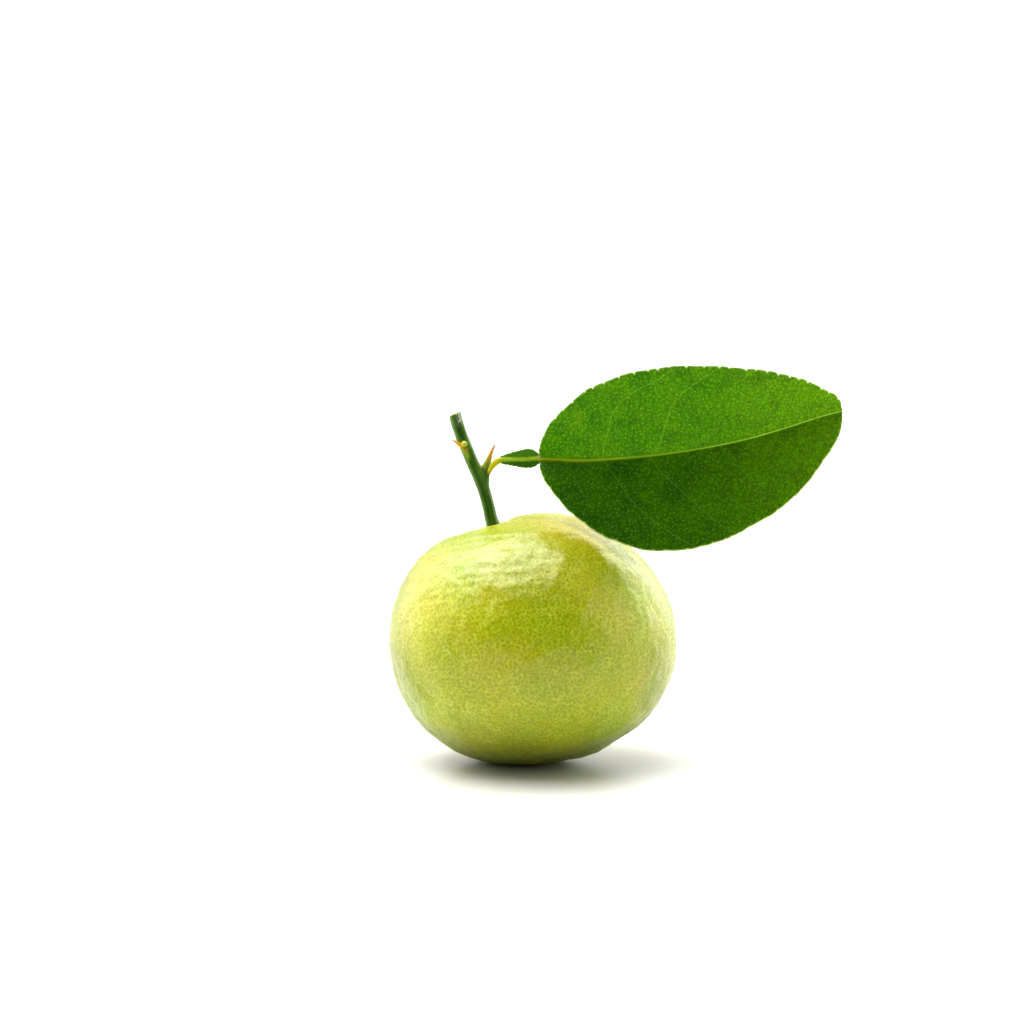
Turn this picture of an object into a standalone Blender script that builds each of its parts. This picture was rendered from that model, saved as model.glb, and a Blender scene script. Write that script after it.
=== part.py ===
"""Pati lemon: one small round citrus fruit, as picked, with its own short twig and leaf.

The fruit rests on a small flat spot under it. A cut length of stem rises from the
basin at its stem end. On the stem are two nodes, each with a thorn and a bud, and the
lower one also carries a winged leaf stalk with one leaf blade.

Metres, +Z up. The origin is the point of the flat rest spot under the fruit's middle,
+X runs towards the leaf's tip, and -Y is the side that the leaf turns its upper face to.
Lengths below are written in millimetres and scaled by MM.
"""

import math

import bmesh
import bpy
import numpy as np
from mathutils import Matrix, Vector

MM = 0.001
GAP = 0.32  # clearance kept between neighbouring pieces

# ---- fruit ------------------------------------------------------------------
FRUIT_HALF_WIDTH = 23.65  # along X
FRUIT_HALF_DEPTH = 22.8  # along Y
FRUIT_HALF_HEIGHT = 20.6  # along Z, before the rest spot is cut
FRUIT_CENTRE = (-0.3, 0.0, 20.2)
STEM_END = (-0.316, 0.117, 0.84)  # direction from the fruit's centre to its stem end
STYLE_END = (0.47, -0.22, -0.855)  # direction to the blunt tip at the other end
BASIN_DEPTH, BASIN_WIDTH = 0.098, 15.0  # share of the radius, degrees
PIT_DEPTH, PIT_WIDTH = 0.043, 7.0
MOUND_HEIGHT, MOUND_WIDTH = 0.020, 8.0
FURROW_DEPTH = 0.006  # radial furrows round the stem end
# Low swellings and flats of the grown fruit: angle from +X towards +Z in degrees,
# lean towards +Y, height as a share of the radius, width in degrees.
SWELLINGS = (
    (0, 0.0, 0.008, 22),
    (30, 0.0, -0.010, 16),
    (60, 0.0, 0.022, 20),
    (92, 0.0, -0.013, 18),
    (136, 0.0, 0.005, 16),
    (165, 0.0, -0.019, 20),
    (195, 0.0, -0.029, 20),
    (225, 0.0, 0.027, 18),
    (252, 0.0, 0.018, 18),
    (280, 0.0, 0.030, 10),
    (285, 0.0, -0.046, 20),
    (325, 0.0, 0.031, 18),
    (20, 2.4, 0.012, 24),
    (150, 2.0, -0.010, 20),
    (255, 1.6, 0.010, 20),
)

# ---- stem -------------------------------------------------------------------
STEM_PATH = (
    (-6.1, 2.5, 38.3),
    (-6.5, 2.55, 39.6),
    (-7.25, 2.7, 42.8),
    (-8.3, 2.9, 45.9),
    (-9.4, 3.1, 48.4),
    (-10.3, 3.2, 50.6),
    (-11.1, 3.3, 52.5),
    (-11.9, 3.5, 54.8),
    (-12.35, 3.6, 56.5),
)
STEM_RADIUS = 0.97
STEM_RIDGES = 5
NODE_BULGE = 0.62  # how far the lower node swells on its leaf side
NODE_HEIGHT = 46.2

# ---- thorns, buds -----------------------------------------------------------
LOWER_THORN = ((-7.05, 2.2, 48.15), (-6.75, 1.95, 49.3), (-6.3, 1.75, 50.7), (-5.8, 1.6, 51.9))
LOWER_THORN_RADII = (0.46, 0.34, 0.20, 0.05)
UPPER_THORN = ((-12.35, 2.2, 51.75), (-12.6, 2.15, 52.05), (-12.85, 2.1, 52.45))
UPPER_THORN_RADII = (0.28, 0.18, 0.05)
UPPER_BUD_CENTRE = (-10.9, 1.35, 51.9)
UPPER_BUD_RADIUS = 0.58
LOWER_BUD_CENTRE = (-7.75, 3.1, 48.35)
LOWER_BUD_RADIUS = 0.28

# ---- leaf stalk -------------------------------------------------------------
STALK_PATH = (
    (-6.5, 1.1, 47.4),
    (-6.0, 0.75, 48.4),
    (-5.3, 0.3, 49.15),
    (-4.4, -0.3, 49.52),
    (-3.1, -0.9, 49.65),
    (-1.15, -1.5, 49.72),
    (1.15, -2.05, 49.93),
)
STALK_RADIUS = 0.58
WING_TOP = 1.7  # the wings' greatest reach from the stalk's middle, above and below
WING_FOOT = 1.3
WING_THICKNESS = 0.34

# ---- leaf blade -------------------------------------------------------------
LEAF_BASE = (1.5, -2.1, 49.9)
LEAF_RISE = math.atan2(7.4, 48.5)  # slope of the blade's chord
LEAF_LENGTH = 49.1
LEAF_SAG = 1.9  # depth runs forward along the chord, and bows forward by
LEAF_BOW = 2.9
FOLD_TOP = 3.6  # how far each margin stands forward of the midrib
FOLD_FOOT = 5.0
LEAF_THICKNESS = 0.40
# Outline of the blade about its chord, as a modeller's curve points.
MIDRIB = ((0.0, 0.0), (3.0, -0.5), (6.2, -1.1), (12.6, -1.6), (19.1, -1.9), (25.6, -1.9), (32.2, -1.6), (38.8, -0.85), (45.4, 0.15), (49.1, 0.45))
TOP_MARGIN = (
    (0.1, 0.5), (0.0, 1.5), (0.5, 2.7), (1.9, 5.1), (4.1, 7.0), (6.4, 8.7), (8.7, 10.1), (11.2, 10.9), (15.0, 11.8),
    (20.9, 12.1), (26.8, 11.5), (32.7, 10.3), (38.2, 8.8), (42.8, 6.9), (45.9, 5.0), (47.9, 3.5), (48.8, 2.3), (49.0, 1.2),
)
FOOT_MARGIN = (
    (0.0, -0.5), (-0.3, -1.3), (0.0, -2.8), (0.6, -4.4), (2.1, -6.9), (4.0, -9.4), (7.1, -12.4), (10.1, -14.3), (13.7, -16.0),
    (18.2, -16.9), (23.8, -16.9), (28.5, -16.0), (33.5, -14.2), (37.5, -12.4), (42.0, -9.2), (45.3, -5.9), (48.0, -2.9), (48.9, -0.4),
)


def unit(v):
    v = np.asarray(v, float)
    return v / np.linalg.norm(v)


def lobe(angle_deg, lean):
    a = math.radians(angle_deg)
    return unit((math.cos(a), lean, math.sin(a)))


def fruit_points(d):
    """Points of the fruit's skin in mm for unit directions d (n, 3) from its centre."""
    r = 1 / np.sqrt((d[:, 0] / FRUIT_HALF_WIDTH) ** 2 + (d[:, 1] / FRUIT_HALF_DEPTH) ** 2 + (d[:, 2] / FRUIT_HALF_HEIGHT) ** 2)
    g = np.ones(len(d))
    for angle, lean, height, width in SWELLINGS:
        s = math.radians(width * 1.25)
        g += height * np.exp(-(1 - d @ lobe(angle, lean)) / (s * s))
    stem, style = unit(STEM_END), unit(STYLE_END)
    side = unit(np.cross(stem, (0, 1, 0)))
    turn = np.arctan2(d @ np.cross(stem, side), d @ side)
    away = np.degrees(np.arccos(np.clip(d @ stem, -1, 1)))
    g -= BASIN_DEPTH * np.exp(-((away / BASIN_WIDTH) ** 2)) + PIT_DEPTH * np.exp(-((away / PIT_WIDTH) ** 2))
    furrows = np.cos(7 * turn + 0.6) + 0.6 * np.cos(11 * turn + 2.1)
    g += FURROW_DEPTH * 0.6 * furrows * np.exp(-(((away - 17) / 8) ** 2))
    away = np.degrees(np.arccos(np.clip(d @ style, -1, 1)))
    g += MOUND_HEIGHT * np.exp(-((away / MOUND_WIDTH) ** 2)) - 0.006 * np.exp(-(((away - 15) / 5) ** 2))
    return d * (r * g)[:, None] + np.array(FRUIT_CENTRE)


def smooth_curve(points, count):
    """count points, evenly spaced by length, on a smooth curve through the given ones."""
    p = np.asarray(points, float)
    ends = np.vstack([2 * p[0] - p[1], p, 2 * p[-1] - p[-2]])
    fine = []
    for k in range(1, len(ends) - 2):
        a, b, c, e = ends[k - 1 : k + 3]
        for t in np.linspace(0, 1, 24, endpoint=False):
            fine.append(0.5 * (2 * b + (c - a) * t + (2 * a - 5 * b + 4 * c - e) * t**2 + (3 * b - a - 3 * c + e) * t**3))
    fine.append(p[-1])
    fine = np.array(fine)
    run = np.concatenate([[0], np.cumsum(np.linalg.norm(np.diff(fine, axis=0), axis=1))])
    at = np.linspace(0, run[-1], count)
    return np.stack([np.interp(at, run, fine[:, k]) for k in range(p.shape[1])], 1)


def frames_along(path):
    """Tangent, sideways and depth directions at each point of a path that runs mostly in XZ."""
    t = np.gradient(path, axis=0)
    t /= np.linalg.norm(t, axis=1)[:, None]
    deep = np.array([0, 1.0, 0]) - t * t[:, 1:2]
    deep /= np.linalg.norm(deep, axis=1)[:, None]
    return t, np.cross(deep, t), deep


def new_object(name, bm, rgb, roughness):
    bmesh.ops.recalc_face_normals(bm, faces=bm.faces)
    bmesh.ops.scale(bm, vec=(MM, MM, MM), verts=bm.verts)
    mesh = bpy.data.meshes.new(name)
    bm.to_mesh(mesh)
    bm.free()
    mesh.shade_smooth()
    mesh.set_sharp_from_angle(angle=math.radians(50))
    obj = bpy.data.objects.new(name, mesh)
    bpy.context.scene.collection.objects.link(obj)
    mat = bpy.data.materials.new(name)
    mat.use_nodes = True
    shader = mat.node_tree.nodes["Principled BSDF"]
    shader.inputs["Base Color"].default_value = (*rgb, 1)
    shader.inputs["Roughness"].default_value = roughness
    shader.inputs["Metallic"].default_value = 0.0
    mesh.materials.append(mat)
    return obj


def loft(rings):
    """A closed body through rings of equal point counts, capped flat at both ends."""
    bm = bmesh.new()
    rows = [[bm.verts.new(p) for p in ring] for ring in rings]
    n = len(rows[0])
    for a, b in zip(rows, rows[1:]):
        for k in range(n):
            bm.faces.new((a[k], a[(k + 1) % n], b[(k + 1) % n], b[k]))
    bm.faces.new(list(reversed(rows[0])))
    bm.faces.new(rows[-1])
    return bm


def make_fruit():
    bm = bmesh.new()
    bmesh.ops.create_icosphere(bm, subdivisions=5, radius=1)
    d = np.array([v.co.normalized() for v in bm.verts])
    for v, p in zip(bm.verts, fruit_points(d)):
        v.co = p
    # The fruit sits on a small flat spot: the skin below Z = 0 is cut away level.
    cut = bmesh.ops.bisect_plane(bm, geom=bm.verts[:] + bm.edges[:] + bm.faces[:], dist=1e-5, plane_co=(0, 0, 0), plane_no=(0, 0, -1), clear_outer=True)
    rim = [e for e in cut["geom_cut"] if isinstance(e, bmesh.types.BMEdge)]
    bmesh.ops.edgeloop_fill(bm, edges=rim)
    bmesh.ops.remove_doubles(bm, verts=bm.verts, dist=0.02)
    return new_object("fruit", bm, (0.42, 0.44, 0.03), 0.38)


def make_calyx():
    """The small star of five blunt sepals under the stem, following the pit that it sits in."""
    stem = unit(STEM_END)
    side = unit(np.cross(stem, (0, 1, 0)))
    across = np.cross(stem, side)
    spokes, reach = 40, (0.30, 0.62, 0.86, 1.0)
    lower, upper = [], []
    for share in reach:
        low, high = [], []
        for k in range(spokes):
            turn = 2 * math.pi * k / spokes
            radius = (1.75 + 0.32 * math.cos(5 * turn)) * share
            lean = math.asin(radius / 18.0)
            d = math.cos(lean) * stem + math.sin(lean) * (math.cos(turn) * side + math.sin(turn) * across)
            foot = fruit_points(d[None])[0] + stem * GAP
            low.append(foot)
            high.append(foot + stem * (0.58 - 0.30 * share**2))
        lower.append(low)
        upper.append(high)
    bm = loft([*lower, *reversed(upper)])
    return new_object("calyx", bm, (0.11, 0.17, 0.03), 0.6)


def make_stem():
    path = smooth_curve(STEM_PATH, 26)
    _, side, deep = frames_along(path)
    sections, rings = 20, []
    for i, p in enumerate(path):
        flare = 0.12 * math.exp(-((i / 2.2) ** 2))
        ring = []
        for k in range(sections):
            a = 2 * math.pi * k / sections
            r = STEM_RADIUS * (1 + 0.05 * math.cos(STEM_RIDGES * a + 0.7)) + flare
            r += NODE_BULGE * max(0.0, math.cos(a)) ** 2 * math.exp(-(((p[2] - NODE_HEIGHT) / 1.25) ** 2))
            ring.append(p + side[i] * r * math.cos(a) + deep[i] * r * math.sin(a))
        rings.append(ring)
    return new_object("stem", loft(rings), (0.05, 0.14, 0.02), 0.5)


def make_tapered(name, points, radii, rgb, sections=10, steps=9):
    path = smooth_curve(points, steps)
    at = np.linspace(0, len(radii) - 1, steps)
    r = np.interp(at, range(len(radii)), radii)
    _, side, deep = frames_along(path)
    rings = []
    for i, p in enumerate(path):
        turns = [2 * math.pi * k / sections for k in range(sections)]
        rings.append([p + (side[i] * math.cos(a) + deep[i] * math.sin(a)) * r[i] for a in turns])
    return new_object(name, loft(rings), rgb, 0.45)


def make_bud(name, centre, radius, stretch):
    bm = bmesh.new()
    bmesh.ops.create_icosphere(bm, subdivisions=3, radius=radius)
    up = Vector(np.array(STEM_PATH[6]) - np.array(STEM_PATH[4])).normalized()
    spin = up.to_track_quat("Z", "Y").to_matrix().to_4x4()
    bmesh.ops.transform(bm, matrix=Matrix.Translation(centre) @ spin @ Matrix.Diagonal((1, 1, stretch, 1)), verts=bm.verts)
    return new_object(name, bm, (0.45, 0.50, 0.06), 0.45)


def wing_reach(share):
    """How much of their full reach the stalk's wings have at a share of its length."""
    if share < 0.31 or share > 0.97:
        return 0.0
    s = (share - 0.31) / (0.97 - 0.31)
    return min(1.0, 0.55 + 1.1 * s) * (1 - 0.6 * s**6)


def make_stalk():
    path = smooth_curve(STALK_PATH, 34)
    _, side, deep = frames_along(path)
    rings = []
    for i, p in enumerate(path):
        share = i / (len(path) - 1)
        r = STALK_RADIUS * (1.0 - 0.18 * math.sin(math.pi * min(1, share * 1.15)))
        w = wing_reach(share)
        top, foot = max(r, WING_TOP * w), max(r, WING_FOOT * w)
        flat = WING_THICKNESS / 2
        ring = []
        # Sideways here points down the picture plane, so the top wing is at -side.
        for u, v, lean in (
            (-top, -flat, 0.30), (-top, flat, 0.30), (-r * 0.75, r * 0.66, 0), (-r * 0.38, r * 0.92, 0), (0, r, 0), (r * 0.38, r * 0.92, 0),
            (r * 0.75, r * 0.66, 0), (foot, flat, 0.36), (foot, -flat, 0.36), (r * 0.75, -r * 0.66, 0), (r * 0.38, -r * 0.92, 0), (0, -r, 0),
            (-r * 0.38, -r * 0.92, 0), (-r * 0.75, -r * 0.66, 0),
        ):
            ring.append(p + side[i] * u + deep[i] * (v - lean * max(0.0, abs(u) - r)))
        rings.append(ring)
    return new_object("leaf_stalk", loft(rings), (0.10, 0.24, 0.02), 0.4)


def leaf_depth(s, t, top):
    """World Y of the blade: s along the midrib, t from midrib (0) to margin (1)."""
    fold = (FOLD_TOP if top else FOLD_FOOT) * math.sin(math.pi * min(max(s, 0.0), 1.0)) ** 0.6
    bow = LEAF_SAG * s + LEAF_BOW * math.sin(math.pi * min(max(s, 0.0), 1.0)) ** 0.9
    return LEAF_BASE[1] - bow - fold * t**1.2


def make_leaf():
    stations, half = 34, 7
    mid = smooth_curve(MIDRIB, stations)
    top, foot = smooth_curve(TOP_MARGIN, stations), smooth_curve(FOOT_MARGIN, stations)
    c, s = math.cos(LEAF_RISE), math.sin(LEAF_RISE)
    rings = []
    for i in range(stations):
        along = i / (stations - 1)
        row = []
        for j in range(-half, half + 1):
            t = abs(j) / half
            x, z = mid[i] + t * ((top if j > 0 else foot)[i] - mid[i])
            row.append((LEAF_BASE[0] + x * c - z * s, leaf_depth(along, t, j > 0), LEAF_BASE[2] + x * s + z * c))
        front = [(x, y - LEAF_THICKNESS / 2, z) for x, y, z in row]
        back = [(x, y + LEAF_THICKNESS / 2, z) for x, y, z in reversed(row)]
        rings.append(front + back)
    return new_object("leaf_blade", loft(rings), (0.06, 0.22, 0.01), 0.35)


def main():
    for old in list(bpy.data.objects):
        bpy.data.objects.remove(old)
    make_fruit()
    make_calyx()
    make_stem()
    make_tapered("lower_thorn", LOWER_THORN, LOWER_THORN_RADII, (0.45, 0.30, 0.03))
    make_tapered("upper_thorn", UPPER_THORN, UPPER_THORN_RADII, (0.62, 0.33, 0.02), 8, 5)
    make_bud("upper_bud", UPPER_BUD_CENTRE, UPPER_BUD_RADIUS, 1.1)
    make_bud("lower_bud", LOWER_BUD_CENTRE, LOWER_BUD_RADIUS, 1.2)
    make_stalk()
    make_leaf()


main()
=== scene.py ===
"""Pati lemon: one citrus fruit as picked, with its own twig and leaf, dressed for a close look.

Lengths are written in millimetres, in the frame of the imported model, and scaled by MM.
The shapes repeat the construction's own numbers at a finer resolution.
"""

import math

import bmesh
import bpy
import numpy as np
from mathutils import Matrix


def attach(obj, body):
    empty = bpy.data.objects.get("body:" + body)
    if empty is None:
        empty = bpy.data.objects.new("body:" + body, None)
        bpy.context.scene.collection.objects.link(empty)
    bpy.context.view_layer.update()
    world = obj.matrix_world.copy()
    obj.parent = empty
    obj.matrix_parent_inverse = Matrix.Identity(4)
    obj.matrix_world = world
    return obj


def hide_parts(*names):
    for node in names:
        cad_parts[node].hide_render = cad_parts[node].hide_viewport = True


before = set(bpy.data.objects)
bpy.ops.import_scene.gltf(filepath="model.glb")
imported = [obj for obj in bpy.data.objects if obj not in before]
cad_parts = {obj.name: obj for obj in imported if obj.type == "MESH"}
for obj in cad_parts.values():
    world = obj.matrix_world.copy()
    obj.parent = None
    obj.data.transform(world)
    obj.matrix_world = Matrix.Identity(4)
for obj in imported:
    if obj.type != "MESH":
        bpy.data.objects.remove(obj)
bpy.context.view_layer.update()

MM = 0.001
rng = np.random.default_rng(20251)

# ---- the construction's numbers -----------------------------------------------
FRUIT_HALF = (23.65, 22.8, 20.6)
FRUIT_CENTRE = np.array((-0.3, 0.0, 20.2))
STEM_END = (-0.316, 0.117, 0.84)
STYLE_END = (0.47, -0.22, -0.855)
BASIN_DEPTH, BASIN_WIDTH = 0.098, 15.0
PIT_DEPTH, PIT_WIDTH = 0.043, 7.0
MOUND_HEIGHT, MOUND_WIDTH = 0.020, 8.0
FURROW_DEPTH = 0.006
SWELLINGS = (
    (0, 0.0, 0.008, 22), (30, 0.0, -0.010, 16), (60, 0.0, 0.022, 20), (92, 0.0, -0.013, 18), (136, 0.0, 0.005, 16),
    (165, 0.0, -0.019, 20), (195, 0.0, -0.029, 20), (225, 0.0, 0.027, 18), (252, 0.0, 0.018, 18), (280, 0.0, 0.030, 10),
    (285, 0.0, -0.046, 20), (325, 0.0, 0.031, 18), (20, 2.4, 0.012, 24), (150, 2.0, -0.010, 20), (255, 1.6, 0.010, 20),
)
STEM_PATH = (
    (-5.98, 2.485, 37.92), (-6.5, 2.55, 39.6), (-7.25, 2.7, 42.8), (-8.3, 2.9, 45.9), (-9.4, 3.1, 48.4),
    (-10.3, 3.2, 50.6), (-11.1, 3.3, 52.5), (-11.9, 3.5, 54.8), (-12.35, 3.6, 56.5),
)
STEM_RADIUS = 0.97
NODE_BULGE, NODE_HEIGHT = 0.62, 46.2
# Thorns, buds and stalk start a little deeper than in the construction, in the tissue they grow out of.
LOWER_THORN = ((-7.8, 2.75, 46.35), (-7.38, 2.55, 47.35), (-7.25, 2.3, 48.25), (-7.0, 2.15, 49.0), (-6.76, 1.95, 49.75), (-6.33, 1.75, 50.9), (-5.86, 1.6, 51.95))
UPPER_THORN = ((-10.9, 2.5, 51.1), (-11.3, 2.35, 51.5), (-11.7, 2.25, 51.85), (-12.05, 2.2, 52.12), (-12.45, 2.15, 52.35), (-12.87, 2.1, 52.5))
UPPER_BUD_CENTRE = (-10.87, 1.95, 51.95)
LOWER_BUD_CENTRE = (-7.75, 2.3, 48.3)
STALK_PATH = (
    (-7.4, 3.0, 45.2), (-7.15, 2.5, 46.2), (-6.93, 1.95, 47.15), (-6.45, 1.15, 48.2), (-5.78, 0.55, 48.98), (-5.05, 0.1, 49.42), (-4.1, -0.4, 49.58),
    (-3.1, -0.9, 49.65), (-1.15, -1.5, 49.72), (1.15, -2.05, 49.93), (1.95, -2.2, 50.02),
)
LEAF_BASE = (1.5, -2.1, 49.9)
LEAF_RISE = math.atan2(7.4, 48.5)
LEAF_SAG, LEAF_BOW = 1.9, 2.9
FOLD_TOP, FOLD_FOOT = 3.6, 5.0
MIDRIB = ((0.0, 0.0), (3.0, -0.5), (6.2, -1.1), (12.6, -1.6), (19.1, -1.9), (25.6, -1.9), (32.2, -1.6), (38.8, -0.85), (45.4, 0.15), (49.1, 0.45))
TOP_MARGIN = (
    (0.1, 0.5), (0.0, 1.5), (0.5, 2.7), (1.9, 5.1), (4.1, 7.0), (6.4, 8.7), (8.7, 10.1), (11.2, 10.9), (15.0, 11.8),
    (20.9, 12.1), (26.8, 11.5), (32.7, 10.3), (38.2, 8.8), (42.8, 6.9), (45.9, 5.0), (47.9, 3.5), (48.8, 2.3), (49.0, 1.2),
)
FOOT_MARGIN = (
    (0.0, -0.5), (-0.3, -1.3), (0.0, -2.8), (0.6, -4.4), (2.1, -6.9), (4.0, -9.4), (7.1, -12.4), (10.1, -14.3), (13.7, -16.0),
    (18.2, -16.9), (23.8, -16.9), (28.5, -16.0), (33.5, -14.2), (37.5, -12.4), (42.0, -9.2), (45.3, -5.9), (48.0, -2.9), (48.9, -0.4),
)


# ---- shape helpers --------------------------------------------------------------
def unit(v):
    v = np.asarray(v, float)
    return v / np.linalg.norm(v)


def lobe(angle_deg, lean):
    a = math.radians(angle_deg)
    return unit((math.cos(a), lean, math.sin(a)))


def smooth(lo, hi, x):
    t = np.clip((np.asarray(x, float) - lo) / (hi - lo), 0, 1)
    return t * t * (3 - 2 * t)


def bump(x, width):
    return np.exp(-((np.asarray(x, float) / width) ** 2))


def ripples(p, wavelength, seed, waves=20):
    """Smooth irregular values of about -1 to 1 over points p (n, 3), from plane waves."""
    r = np.random.default_rng(seed)
    out = np.zeros(len(p))
    for _ in range(waves):
        k = unit(r.normal(size=3)) * (2 * math.pi / (wavelength * r.uniform(0.7, 1.5)))
        out += np.cos(p @ k + r.uniform(0, 2 * math.pi))
    return out / math.sqrt(waves)


def fruit_points(d):
    r = 1 / np.sqrt((d[:, 0] / FRUIT_HALF[0]) ** 2 + (d[:, 1] / FRUIT_HALF[1]) ** 2 + (d[:, 2] / FRUIT_HALF[2]) ** 2)
    g = np.ones(len(d))
    for angle, lean, height, width in SWELLINGS:
        s = math.radians(width * 1.25)
        g += height * np.exp(-(1 - d @ lobe(angle, lean)) / (s * s))
    stem, style = unit(STEM_END), unit(STYLE_END)
    side = unit(np.cross(stem, (0, 1, 0)))
    turn = np.arctan2(d @ np.cross(stem, side), d @ side)
    away = np.degrees(np.arccos(np.clip(d @ stem, -1, 1)))
    g -= BASIN_DEPTH * np.exp(-((away / BASIN_WIDTH) ** 2)) + PIT_DEPTH * np.exp(-((away / PIT_WIDTH) ** 2))
    furrows = np.cos(7 * turn + 0.6) + 0.6 * np.cos(11 * turn + 2.1)
    g += FURROW_DEPTH * 0.6 * furrows * np.exp(-(((away - 17) / 8) ** 2))
    away = np.degrees(np.arccos(np.clip(d @ style, -1, 1)))
    g += MOUND_HEIGHT * np.exp(-((away / MOUND_WIDTH) ** 2)) - 0.006 * np.exp(-(((away - 15) / 5) ** 2))
    return d * (r * g)[:, None] + FRUIT_CENTRE


def smooth_curve(points, count):
    """count points, evenly spaced by length, on a smooth curve through the given ones."""
    p = np.asarray(points, float)
    ends = np.vstack([2 * p[0] - p[1], p, 2 * p[-1] - p[-2]])
    fine = []
    for k in range(1, len(ends) - 2):
        a, b, c, e = ends[k - 1 : k + 3]
        for t in np.linspace(0, 1, 24, endpoint=False):
            fine.append(0.5 * (2 * b + (c - a) * t + (2 * a - 5 * b + 4 * c - e) * t**2 + (3 * b - a - 3 * c + e) * t**3))
    fine.append(p[-1])
    fine = np.array(fine)
    run = np.concatenate([[0], np.cumsum(np.linalg.norm(np.diff(fine, axis=0), axis=1))])
    at = np.linspace(0, run[-1], count)
    return np.stack([np.interp(at, run, fine[:, k]) for k in range(p.shape[1])], 1)


def frames_along(path):
    t = np.gradient(path, axis=0)
    t /= np.linalg.norm(t, axis=1)[:, None]
    deep = np.array([0, 1.0, 0]) - t * t[:, 1:2]
    deep /= np.linalg.norm(deep, axis=1)[:, None]
    return t, np.cross(deep, t), deep


def loft(rings):
    """Vertices and faces of a closed body through rings (count, points, 3), its ends closed by fans."""
    rings = np.asarray(rings, float)
    count, n = rings.shape[:2]
    index = np.arange(count * n).reshape(count, n)
    nxt = np.roll(index, -1, 1)
    quads = np.stack([index[:-1], nxt[:-1], nxt[1:], index[1:]], -1).reshape(-1, 4).tolist()
    first, last = count * n, count * n + 1
    fans = [(first, int(nxt[0, k]), int(index[0, k])) for k in range(n)] + [(last, int(index[-1, k]), int(nxt[-1, k])) for k in range(n)]
    verts = np.vstack([rings.reshape(-1, 3), rings[0].mean(0), rings[-1].mean(0)])
    return verts, quads + fans


def with_ends(values):
    """Values per ring point (count, points) as values per vertex of the body that loft makes."""
    values = np.asarray(values, float)
    return np.concatenate([values.reshape(-1), [values[0].mean()], [values[-1].mean()]])


def new_piece(name, verts, faces, attributes, material, node):
    mesh = bpy.data.meshes.new(name)
    mesh.from_pydata((np.asarray(verts, float) * MM).tolist(), [], faces)
    mesh.validate()
    for key, values in attributes.items():
        values = np.asarray(values, np.float32)
        if values.ndim == 1:
            mesh.attributes.new(key, "FLOAT", "POINT").data.foreach_set("value", values)
        else:
            mesh.attributes.new(key, "FLOAT_VECTOR", "POINT").data.foreach_set("vector", values.ravel())
    bm = bmesh.new()
    bm.from_mesh(mesh)
    bmesh.ops.recalc_face_normals(bm, faces=bm.faces)
    bm.to_mesh(mesh)
    bm.free()
    mesh.shade_smooth()
    obj = bpy.data.objects.new(name, mesh)
    bpy.context.scene.collection.objects.link(obj)
    mesh.materials.append(material)
    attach(obj, "root")
    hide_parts(node)
    return obj


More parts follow.
